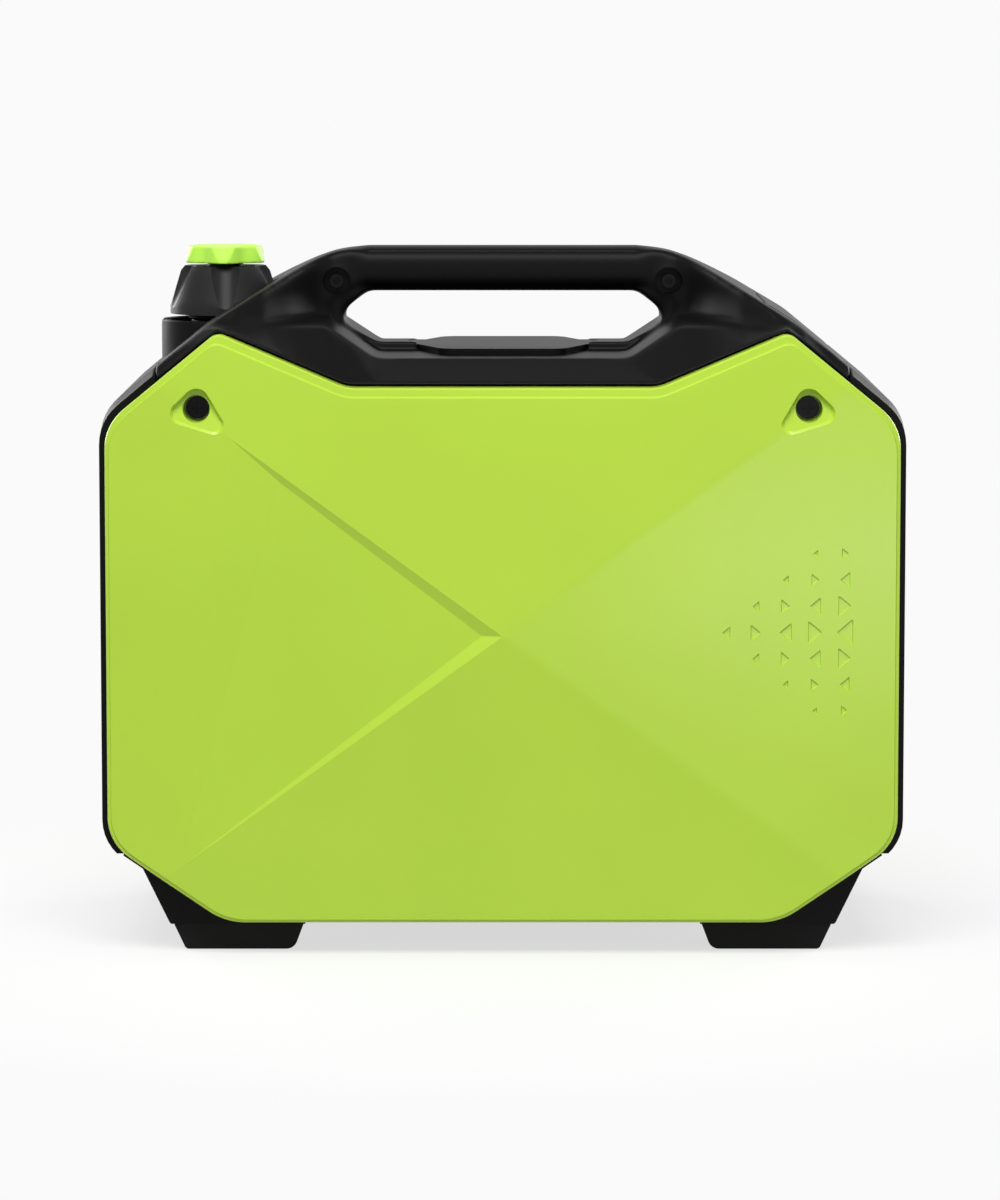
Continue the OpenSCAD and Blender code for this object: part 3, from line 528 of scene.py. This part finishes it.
def rounded(points, radii, steps=ARC_STEPS):
    count = len(points)
    loop = []
    for i, r in enumerate(radii):
        loop += fillet(points[i - 1], points[i], points[(i + 1) % count], r, steps)
    return loop


def shifted(points, moves):
    """The polygon with edge i, from point i to the next, moved outwards by moves[i]."""
    count = len(points)
    normals = []
    for i in range(count):
        a, b = points[i], points[(i + 1) % count]
        run = unit(b[0] - a[0], b[1] - a[1])
        normals.append((run[1], -run[0]))
    loop = []
    for i, p in enumerate(points):
        n, m, d, e = normals[i - 1], normals[i], moves[i - 1], moves[i]
        cross = n[0] * m[1] - n[1] * m[0]
        loop.append((p[0] + (d * m[1] - e * n[1]) / cross, p[1] + (e * n[0] - d * m[0]) / cross))
    return loop


def circle(x, z, r, steps=40):
    return [(x + r * math.cos(2 * math.pi * i / steps), z + r * math.sin(2 * math.pi * i / steps))
            for i in range(steps)]


def inside(loop, x, z):
    hit = False
    for (x0, z0), (x1, z1) in zip(loop, loop[1:] + loop[:1]):
        if (z0 > z) != (z1 > z) and x < x0 + (z - z0) / (z1 - z0) * (x1 - x0):
            hit = not hit
    return hit


print("outline tools ready, arcs of", ARC_STEPS, "steps")

# %% [markdown]
# The panel's numbers are the same real sizes as in the solid: millimetres from the middle of the
# body and from the floor. The border is narrow at the sides and wider along the top. It lies a
# little below the facets, and the light catches the small step at its inner edge.

# %% Panel outline and heights
CROWN_Y, CROWN_Z, CROWN_HALF_Z, CROWN_FALL = 145, 202, 179, 11
PANEL_HALF = 246
SEAT_Y = 114
RIGHT_HALF = [(173, 20.6), (246, 71), (246, 332), (176.5, 389), (96.5, 355)]
RIGHT_RADII = [40, 30, 32, 9, 30]
PANEL_POINTS = RIGHT_HALF + [(-x, z) for x, z in reversed(RIGHT_HALF)]
PANEL_RADII = RIGHT_RADII + RIGHT_RADII[::-1]
BORDER = [2.6, 2.6, 4.0, 6.2, 6.2, 6.2, 4.0, 2.6, 2.6, 2.2]
BORDER_PROFILE = [(0.0, 3.2), (0.05, 2.1), (0.16, 1.3), (0.85, 1.0), (1.0, 0.0)]
BORDER_STEP = 4.0
CROWN = (0, CROWN_Z)
SINK_TIP = (-13, CROWN_Z)
SINK_DEPTH = 2.6
SINK_TOP_SHARE, SINK_LOW_SHARE = 0.685, 0.81
STEP_WIDTH, STEP_DEPTH, STEP_END = 4.2, 1.7, 0.55


def facet(x, z):
    return CROWN_Y - CROWN_FALL * max(abs(x) / PANEL_HALF, abs(z - CROWN_Z) / CROWN_HALF_Z)


def diagonal(side, up, share):
    """A point on the crease from the crown to a corner."""
    return side * share * PANEL_HALF, CROWN_Z + up * share * CROWN_HALF_Z


SINK_TOP = diagonal(-1, 1, SINK_TOP_SHARE)
SINK_LOW = diagonal(-1, -1, SINK_LOW_SHARE)


def step_foot():
    """Where the foot of the upper step ends, beside the crease."""
    x, z = diagonal(-1, 1, STEP_END)
    length = math.hypot(PANEL_HALF, CROWN_HALF_Z)
    return x - STEP_WIDTH * CROWN_HALF_Z / length, z - STEP_WIDTH * PANEL_HALF / length


SINK_FOOT = step_foot()


def sunk_height(x, z):
    """Height of the plane through the tip, the foot of the upper step and the lower end."""
    tip = Vector((*SINK_TIP, facet(*SINK_TIP) - SINK_DEPTH))
    foot = Vector((*SINK_FOOT, facet(*SINK_FOOT) - STEP_DEPTH))
    low = Vector((*SINK_LOW, facet(*SINK_LOW)))
    normal = (foot - tip).cross(low - tip)
    return tip.z - (normal.x * (x - tip.x) + normal.y * (z - tip.y)) / normal.z


def panel_height(x, z):
    if inside([SINK_FOOT, SINK_LOW, SINK_TIP], x, z):
        return sunk_height(x, z)
    return facet(x, z)


def divided(loop, counts):
    """The loop with every side cut into its count of equal steps."""
    points = []
    for (x0, z0), (x1, z1), count in zip(loop, loop[1:] + loop[:1], counts):
        points += [(x0 + (x1 - x0) * i / count, z0 + (z1 - z0) * i / count) for i in range(count)]
    return points


def plain_border(share):
    return rounded(shifted(PANEL_POINTS, [-share * width for width in BORDER]), PANEL_RADII)


outer = plain_border(0)
BORDER_COUNTS = [math.ceil(math.dist(a, b) / BORDER_STEP) for a, b in zip(outer, outer[1:] + outer[:1])]


def border_loop(share):
    return divided(plain_border(share), BORDER_COUNTS)


print("panel outline of", len(border_loop(0)), "points")

# %% [markdown]
# A sketch holds loops, lines and the heights of their points. `fill` triangulates it, so that every
# line becomes an edge of the mesh, and finds the height of the crossings that the triangulation
# adds.

# %% A sketch that becomes a relief
INSIDE_ONLY = 1
SAME_SPOT = 0.001


class Sketch:
    """Loops and lines in a flat outline, with a height at every point and its sharp and rounded lines."""

    def __init__(self):
        self.points = []
        self.heights = []
        self.edges = []
        self.sharp = []
        self.round = []

    def add(self, points, heights, closed=True):
        first = len(self.points)
        self.points += points
        self.heights += heights
        count = len(points)
        pairs = count if closed else count - 1
        self.edges += [(first + i, first + (i + 1) % count) for i in range(pairs)]

    def add_sharp(self, a, b, heights):
        self.add([a, b], heights, closed=False)
        self.sharp.append((a, b))

    def add_round(self, a, b, heights):
        self.add([a, b], heights, closed=False)
        self.round.append((a, b))

    def fill(self, height_between, holes):
        flat = [Vector(p) for p in self.points]
        filled = delaunay_2d_cdt(flat, self.edges, [], INSIDE_ONLY, SAME_SPOT)
        verts, _, faces, sources, _, _ = filled
        heights = [self.heights[s[0]] if s else height_between(*v) for v, s in zip(verts, sources)]
        kept = []
        for face in faces:
            x = sum(verts[i].x for i in face) / len(face)
            z = sum(verts[i].y for i in face) / len(face)
            if not any(inside(hole, x, z) for hole in holes):
                kept.append(face)
        return [(v.x, v.y) for v in verts], heights, kept


def even(loop, value):
    return [value] * len(loop)


def on_facets(loop):
    return [facet(*p) for p in loop]


print("sketch class ready")

# %% [markdown]
# The left creases are the steps of the sunk facet, rounded at the top and sharp at the bottom. The
# right ones are soft: a narrow strip along each lets the light turn gradually from one facet to the
# next. A crease stops where a pocket is cut in and goes on behind it.

# %% Draw the creases
SOFT_CREASE = 3.0
BEHIND_POCKET = (0.822, 0.850)
LOWER_END = 0.842


def add_sunk_facet(sketch):
    tip = facet(*SINK_TIP) - SINK_DEPTH
    foot = facet(*SINK_FOOT) - STEP_DEPTH
    top, low = on_facets([SINK_TOP, SINK_LOW])
    sketch.add_round(CROWN, SINK_TOP, [CROWN_Y, top])
    sketch.add_round(SINK_TIP, SINK_FOOT, [tip, foot])
    sketch.add_sharp(SINK_FOOT, SINK_TOP, [foot, top])
    sketch.add_sharp(CROWN, SINK_LOW, [CROWN_Y, low])
    sketch.add_sharp(SINK_TIP, SINK_LOW, [tip, low])
    sketch.add_sharp(CROWN, SINK_TIP, [CROWN_Y, tip])
    sketch.add_sharp(SINK_FOOT, SINK_LOW, [foot, low])
    sketch.add_sharp(SINK_TOP, SINK_LOW, [top, low])


def add_crease_ends(sketch):
    for side in (-1, 1):
        line = [diagonal(side, 1, share) for share in BEHIND_POCKET]
        sketch.add_sharp(*line, on_facets(line))
    line = [SINK_LOW, diagonal(-1, -1, LOWER_END)]
    sketch.add_sharp(*line, on_facets(line))


def add_soft_crease(sketch, up, shares):
    """Two lines beside the right upper or lower crease, from share to share."""
    length = math.hypot(PANEL_HALF, CROWN_HALF_Z)
    aside = (-up * SOFT_CREASE * CROWN_HALF_Z / length, SOFT_CREASE * PANEL_HALF / length)
    for start, end in zip(shares[::2], shares[1::2]):
        for turn in (-1, 1):
            line = [(x + turn * aside[0], z + turn * aside[1])
                    for x, z in (diagonal(1, up, start), diagonal(1, up, end))]
            sketch.add(line, on_facets(line), closed=False)


print("soft creases", 2 * SOFT_CREASE, "mm wide")

# %% Draw pockets and dimples
SCREW_X, SCREW_Z = 189, 342
SEAT_RADIUS, SEAT_BOTTOM = 8.4, 117.2
POCKET_FLOOR, POCKET_LEAN = 132.6, 0.2335
POCKET_LIP, POCKET_WALL, POCKET_TURN = 0.3, 1.6, 1.4
POCKET = [(-22.7, -5.9), (24.2, -19.7), (2, 17.5)]
POCKET_RADII = [7, 6, 8]
SEAT_DRAFT = 0.3
DIMPLE_START, DIMPLE_PITCH = (138.2, CROWN_Z + 1.6), (18.43, 16.35)
DIMPLE_DEPTH, DIMPLE_WALL = 1.0, 0.5
DIMPLE_ROWS, DIMPLE_COLUMNS = 3, 5
DIMPLE_HEIGHT, MORE_PER_COLUMN, LESS_PER_ROW = 8.6, 2.15, 1.2
DIMPLE_REACH, RIM_TURN, FLOOR_TURN, TURN_STEPS = 0.3, 0.04, 0.03, 3


def pocket_floor(x, z):
    """The floor leans: level with the facet at the lower edge of the pocket and deepest at its top."""
    return min(POCKET_FLOOR - POCKET_LEAN * (z - SCREW_Z), facet(x, z) - POCKET_LIP)


def add_screw_pocket(sketch, side):
    corners = [(side * (SCREW_X - x), SCREW_Z + z) for x, z in POCKET]
    order = corners[::-1] if side > 0 else corners
    radii = POCKET_RADII[::-1] if side > 0 else POCKET_RADII
    rim = rounded(order, radii)
    floor = rounded(shifted(order, [-POCKET_WALL] * 3), [r - POCKET_TURN for r in radii])
    seat = circle(side * SCREW_X, SCREW_Z, SEAT_RADIUS)
    bottom = circle(side * SCREW_X, SCREW_Z, SEAT_RADIUS - SEAT_DRAFT)
    sketch.add(rim, on_facets(rim))
    sketch.add(floor, [pocket_floor(*p) for p in floor])
    sketch.add(seat, [pocket_floor(*p) for p in seat])
    sketch.add(bottom, even(bottom, SEAT_BOTTOM))


def add_dimple(sketch, x, z, h, point):
    """A sunk triangle of height h that points left (-1) or right (1)."""
    reach = point * DIMPLE_REACH * h
    corners = [(x - reach, z - h / 2), (x + reach, z), (x - reach, z + h / 2)]
    if point < 0:
        corners = corners[::-1]
    rim = rounded(corners, [RIM_TURN * h] * 3, TURN_STEPS)
    floor = rounded(shifted(corners, [-DIMPLE_WALL] * 3), [FLOOR_TURN * h] * 3, TURN_STEPS)
    sketch.add(rim, on_facets(rim))
    sketch.add(floor, [facet(*p) - DIMPLE_DEPTH for p in floor])


def add_dimples(sketch):
    for row in range(-DIMPLE_ROWS, DIMPLE_ROWS + 1):
        for column in range(abs(row), DIMPLE_COLUMNS):
            step = column - abs(row)
            x = DIMPLE_START[0] + column * DIMPLE_PITCH[0]
            z = DIMPLE_START[1] + row * DIMPLE_PITCH[1]
            h = DIMPLE_HEIGHT + MORE_PER_COLUMN * step - LESS_PER_ROW * abs(row)
            add_dimple(sketch, x, z, h, -1 if step % 2 == 0 else 1)


print("pocket floor at", POCKET_FLOOR, "mm, dimples", DIMPLE_DEPTH, "mm deep")

# %% [markdown]
# The rear panel is the same moulding with a pocket for the starter grip. Every rim that is steeper
# than a crease gets a small bevel and the rounded lines a larger one. The sharp lines and the
# dimples keep their hard normals.

# %% Make both panels
PANEL_WALL, PANEL_EDGE = 0.0022, 0.0010
STARTER_X, STARTER_Z = 86, 226
STARTER_HALF, STARTER_CORNER = (46, 26), 10
STARTER_FLARE, STARTER_INSET = 0.8, 0.2
STARTER_FLOOR = 122
ROPE_HOLE, ROPE_HOLE_STEPS = 4, 20
UPPER_CREASE = [0.025, 0.66]
CREASE_PAST_STARTER = [0.025, 0.150, 0.295, 0.66]
LOWER_CREASE = [0.025, LOWER_END]
STEEP = math.radians(16)
ON_LINE = 0.02
CLOSE = 0.00001
DIMPLE_FIELD = (125, 225, 62)


def add_starter_pocket(sketch):
    hx, hz = STARTER_HALF
    corners = [(STARTER_X - hx, STARTER_Z - hz), (STARTER_X + hx, STARTER_Z - hz),
               (STARTER_X + hx, STARTER_Z + hz), (STARTER_X - hx, STARTER_Z + hz)]
    rim = rounded(shifted(corners, [STARTER_FLARE] * 4), [STARTER_CORNER + STARTER_FLARE] * 4)
    floor = rounded(shifted(corners, [-STARTER_INSET] * 4), [STARTER_CORNER - STARTER_INSET] * 4)
    rope_hole = circle(STARTER_X, STARTER_Z, ROPE_HOLE, ROPE_HOLE_STEPS)
    sketch.add(rim, on_facets(rim))
    sketch.add(floor, even(floor, STARTER_FLOOR))
    sketch.add(rope_hole, even(rope_hole, STARTER_FLOOR))
    return [rope_hole]


def draw_front(with_starter):
    sketch = Sketch()
    inner = border_loop(1.0)
    sketch.add(inner, on_facets(inner))
    add_sunk_facet(sketch)
    add_crease_ends(sketch)
    add_soft_crease(sketch, 1, CREASE_PAST_STARTER if with_starter else UPPER_CREASE)
    add_soft_crease(sketch, -1, LOWER_CREASE)
    for side in (-1, 1):
        add_screw_pocket(sketch, side)
    add_dimples(sketch)
    holes = add_starter_pocket(sketch) if with_starter else []
    return sketch, holes


def on_line(p, a, b):
    """True where p lies on the line from a to b."""
    run = b - a
    length = run.length
    off = abs((p - a).cross(run)) / length
    along = (p - a).dot(run) / length
    return off < ON_LINE and -ON_LINE < along < length + ON_LINE


def on_any(ends, lines):
    return any(all(on_line(p, Vector(a), Vector(b)) for p in ends) for a, b in lines)


def in_dimples(p):
    return DIMPLE_FIELD[0] < p.x < DIMPLE_FIELD[1] and abs(p.y - DIMPLE_START[1]) < DIMPLE_FIELD[2]


def mark_edges(mesh, sketch):
    """Hard normals on sharp lines, a full bevel on rounded ones and half of it on other steep edges."""
    weight = mesh.edges.layers.float.new("bevel_weight_edge")
    for edge in mesh.edges:
        ends = [Vector((v.co.x, v.co.z)) / MM for v in edge.verts]
        steep = len(edge.link_faces) == 2 and edge.calc_face_angle() > STEEP
        if on_any(ends, sketch.sharp) or steep and all(in_dimples(p) for p in ends):
            edge.smooth = False
        elif on_any(ends, sketch.round):
            edge[weight] = 1.0
        elif steep:
            edge[weight] = 0.5


def panel_mesh(sketch, holes, side):
    mesh = bmesh.new()

    def lifted(points, heights):
        return [mesh.verts.new((x * MM, side * h * MM, z * MM)) for (x, z), h in zip(points, heights)]

    flat, heights, faces = sketch.fill(panel_height, holes)
    front = lifted(flat, heights)
    for face in faces:
        mesh.faces.new([front[i] for i in face])
    rings = [lifted(border_loop(0), even(border_loop(0), SEAT_Y))]
    for share, drop in BORDER_PROFILE:
        loop = border_loop(share)
        rings.append(lifted(loop, [facet(*p) - drop for p in loop]))
    for low, high in zip(rings, rings[1:]):
        for i in range(len(low)):
            j = (i + 1) % len(low)
            mesh.faces.new([low[i], low[j], high[j], high[i]])
    bmesh.ops.remove_doubles(mesh, verts=mesh.verts, dist=CLOSE)
    bmesh.ops.recalc_face_normals(mesh, faces=mesh.faces)
    outward = sum(face.normal.y * face.calc_area() for face in mesh.faces)
    if outward * side < 0:
        bmesh.ops.reverse_faces(mesh, faces=mesh.faces)
    for face in mesh.faces:
        face.smooth = True
    mark_edges(mesh, sketch)
    return mesh


def place_new(name, mesh):
    """A new object in the scene from a mesh that is being edited."""
    data = bpy.data.meshes.new(name)
    mesh.to_mesh(data)
    mesh.free()
    piece = bpy.data.objects.new(name, data)
    bpy.context.collection.objects.link(piece)
    return piece


def build_panel(name, node, side, with_starter):
    sketch, holes = draw_front(with_starter)
    piece = place_new(name, panel_mesh(sketch, holes, side))
    bevel = piece.modifiers.new("soft_edge", "BEVEL")
    bevel.width = PANEL_EDGE
    bevel.segments = BEVEL_STEPS
    bevel.limit_method = "WEIGHT"
    shell = piece.modifiers.new("wall", "SOLIDIFY")
    shell.thickness = PANEL_WALL
    shell.offset = -1
    normals = piece.modifiers.new("flat_faces", "WEIGHTED_NORMAL")
    normals.keep_sharp = True
    paint(piece, "green_plastic")
    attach(piece, "generator")
    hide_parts(node)
    return piece


front_panel = build_panel("front_panel_shell", "front_side_panel", -1, False)
rear_panel = build_panel("rear_panel_shell", "rear_side_panel", 1, True)
print("panel faces:", len(front_panel.data.polygons), len(rear_panel.data.polygons))

# %% [markdown]
# ## Handle
# The two handle halves are thick moulded plastic with large soft edges. The solids have the right
# planes but sharp folds. Both halves are joined first, so that nothing disturbs the parting line,
# and the bolt holes are filled. A voxel copy joins all planes into one skin, and smoothing that
# skin rounds every fold the way a mould does.

# %% Join the halves and make one skin
HANDLE_VOXEL = 0.0011
FOLD_PASSES = 8
BOLT_X, BOLT_Z, BOLT_SEAT = 0.106, 0.415, 0.014
BOLT_HOLE, PLUG_END, PLUG_MARGIN = 0.0088, 0.0205, 0.0003
ROD_SIDES = 48


def add_rod(mesh, x, z, r, y0, y1):
    """A round rod along Y in a mesh that is being edited."""
    place = Matrix.Translation((x, (y0 + y1) / 2, z)) @ Matrix.Rotation(math.pi / 2, 4, "X")
    bmesh.ops.create_cone(mesh, cap_ends=True, segments=ROD_SIDES, radius1=r, radius2=r,
                          depth=y1 - y0, matrix=place)


def joined_halves(name):
    """The front half without its parting face, and its mirror image, with plugged bolt holes."""
    data = nodes["front_handle_half"].data.copy()
    mesh = bmesh.new()
    mesh.from_mesh(data)
    bmesh.ops.remove_doubles(mesh, verts=mesh.verts, dist=SAME_POINT)
    parting = [face for face in mesh.faces if all(abs(v.co.y) < CLOSE for v in face.verts)]
    bmesh.ops.delete(mesh, geom=parting, context="FACES")
    for side in (-1, 1):
        add_rod(mesh, side * BOLT_X, BOLT_Z, BOLT_HOLE + PLUG_MARGIN, -PLUG_END, PLUG_END)
    mesh.to_mesh(data)
    mesh.free()
    piece = bpy.data.objects.new(name, data)
    bpy.context.collection.objects.link(piece)
    other = piece.modifiers.new("other_half", "MIRROR")
    other.use_axis = (False, True, False)
    other.merge_threshold = SAME_POINT
    return piece


def settle(piece):
    """Turns what the modifiers show into the piece's own mesh."""
    graph = bpy.context.evaluated_depsgraph_get()
    data = bpy.data.meshes.new_from_object(piece.evaluated_get(graph))
    piece.modifiers.clear()
    piece.data = data
    data.shade_smooth()


def build_skin():
    whole = joined_halves("whole_handle")
    add_skin(whole, HANDLE_VOXEL)
    add_smoothing(whole, FOLD_PASSES)
    settle(whole)
    return whole


whole_handle = build_skin()
print("handle skin points:", len(whole_handle.data.vertices))

# %% [markdown]
# The grip is pressed to a rounded section for the hand. The legs get more smoothing than the rims,
# so that they flow from the grip into the deck. Each pair below is a distance in metres where an
# effect is off and one where it is full.

# %% Shape grip and legs
GRIP_MIDDLE = 0.4225
GRIP_HALF = (0.018, 0.0145)
GRIP_POWER = 2.7
GRIP_ENDS, OVER_OPENING = (0.102, 0.086), (0.396, 0.404)
LEG_PASSES = 110
LEG_STARTS, LEG_ENDS = (0.086, 0.102), (0.168, 0.158)
FLARE_ENDS, PAST_COLLAR = (0.205, 0.195), (0.050, 0.062)
DECK_ENDS, PAST_GRIP = (0.062, 0.076), (0.024, 0.032)
RIM_SIDES, OVER_RIMS = (0.117, 0.108), (0.352, 0.362)


def ramp(value, zero, one):
    """0 at one value and 1 at the other, straight in between."""
    return max(0.0, min(1.0, (value - zero) / (one - zero)))


def round_grip(piece):
    """Presses the square grip section to a rounded one, fading out where the legs begin."""
    for v in piece.data.vertices:
        share = ramp(abs(v.co.x), *GRIP_ENDS) * ramp(v.co.z, *OVER_OPENING)
        a = v.co.y / GRIP_HALF[0]
        b = (v.co.z - GRIP_MIDDLE) / GRIP_HALF[1]
        size = (abs(a) ** GRIP_POWER + abs(b) ** GRIP_POWER) ** (1 / GRIP_POWER)
        if share and size:
            scale = 1 - share + share * max(abs(a), abs(b)) / size
            v.co.y = v.co.y * scale
            v.co.z = GRIP_MIDDLE + (v.co.z - GRIP_MIDDLE) * scale


def leg_share(x, y, z):
    """1 on the legs and their flares, 0 on the rims, the grip and round the filler collar."""
    legs = ramp(x, *LEG_ENDS)
    flares = ramp(x, *FLARE_ENDS) * ramp(y, *PAST_COLLAR)
    roots = ramp(x, *LEG_STARTS)
    deck_ends = ramp(x, *DECK_ENDS) * ramp(y, *PAST_GRIP)
    return max(legs, flares) * max(roots, deck_ends) * ramp(y, *RIM_SIDES) * ramp(z, *OVER_RIMS)


def flow_legs(piece):
    group = piece.vertex_groups.new(name="legs")
    for v in piece.data.vertices:
        group.add([v.index], leg_share(abs(v.co.x), abs(v.co.y), v.co.z), "REPLACE")
    add_smoothing(piece, LEG_PASSES, "legs")
    settle(piece)


round_grip(whole_handle)
flow_legs(whole_handle)
print("grip section", [2000 * h for h in GRIP_HALF], "mm")

# %% [markdown]
# The bolts sit in round holes with crisp rims, so these are cut into the finished skin. Then the
# handle is split again into its two halves.

# %% Cut the bolt holes and split the handle
KEPT_POINTS = 0.5
RIM_ANGLE = math.radians(45)
CUT_REACH = 0.12
ON_PLANE = 1e-7


def cut_bolt_holes(whole):
    rods = bmesh.new()
    for side in (-1, 1):
        add_rod(rods, side * BOLT_X, BOLT_Z, BOLT_HOLE, -CUT_REACH, -BOLT_SEAT)
        add_rod(rods, side * BOLT_X, BOLT_Z, BOLT_HOLE, BOLT_SEAT, CUT_REACH)
    cutter = place_new("bolt_hole_cutter", rods)
    cut = whole.modifiers.new("bolt_holes", "BOOLEAN")
    cut.operation = "DIFFERENCE"
    cut.solver = "EXACT"
    cut.object = cutter
    settle(whole)
    whole.data.set_sharp_from_angle(angle=RIM_ANGLE)
    bpy.data.objects.remove(cutter)


def half_of(whole, name, node, side):
    """The moulding on one side of the parting plane, in place of the half in CAD."""
    mesh = bmesh.new()
    mesh.from_mesh(whole.data)
    everything = mesh.verts[:] + mesh.edges[:] + mesh.faces[:]
    bmesh.ops.bisect_plane(mesh, geom=everything, dist=ON_PLANE, plane_co=(0, 0, 0),
                           plane_no=(0, side, 0), clear_inner=True)
    rim = [edge for edge in mesh.edges if edge.is_boundary]
    for edge in rim:
        edge.smooth = False
    bmesh.ops.triangle_fill(mesh, use_beauty=True, edges=rim)
    piece = place_new(name, mesh)
    paint(piece, "black_plastic")
    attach(piece, "generator")
    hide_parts(node)
    return piece


thin = whole_handle.modifiers.new("thin", "DECIMATE")
thin.ratio = KEPT_POINTS
settle(whole_handle)
cut_bolt_holes(whole_handle)
front_handle = half_of(whole_handle, "front_handle_moulding", "front_handle_half", -1)
rear_handle = half_of(whole_handle, "rear_handle_moulding", "rear_handle_half", 1)
bpy.data.objects.remove(whole_handle)
print("handle faces:", len(front_handle.data.polygons), len(rear_handle.data.polygons))

# %% [markdown]
# ## Starter rope
# Pulling the starter draws the rope out of the recoil housing. One straight tube of many rings, in
# place of the rope solid, stands for the visible run.

# %% Make the starter rope
ROPE_RUN = (0.112, 0.123)
ROPE_PLACE = (0.086, 0.226)
ROPE_RADIUS = 0.002
ROPE_RINGS, ROPE_SIDES = 60, 14


def build_rope():
    mesh = bmesh.new()
    rings = []
    for i in range(ROPE_RINGS + 1):
        y = ROPE_RUN[0] + (ROPE_RUN[1] - ROPE_RUN[0]) * i / ROPE_RINGS
        turns = [2 * math.pi * k / ROPE_SIDES for k in range(ROPE_SIDES)]
        rings.append([mesh.verts.new((ROPE_PLACE[0] + ROPE_RADIUS * math.cos(t), y,
                                      ROPE_PLACE[1] + ROPE_RADIUS * math.sin(t))) for t in turns])
    for low, high in zip(rings, rings[1:]):
        for k in range(ROPE_SIDES):
            j = (k + 1) % ROPE_SIDES
            mesh.faces.new([low[k], high[k], high[j], low[j]])
    mesh.faces.new(rings[0])
    mesh.faces.new(rings[-1][::-1])
    bmesh.ops.recalc_face_normals(mesh, faces=mesh.faces)
    rope = place_new("starter_rope_run", mesh)
    rope.data.shade_smooth()
    paint(rope, "rope_fibre")
    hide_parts("starter_rope")
    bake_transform(rope)
    return rope


starter_rope = build_rope()
print("rope rings:", ROPE_RINGS)
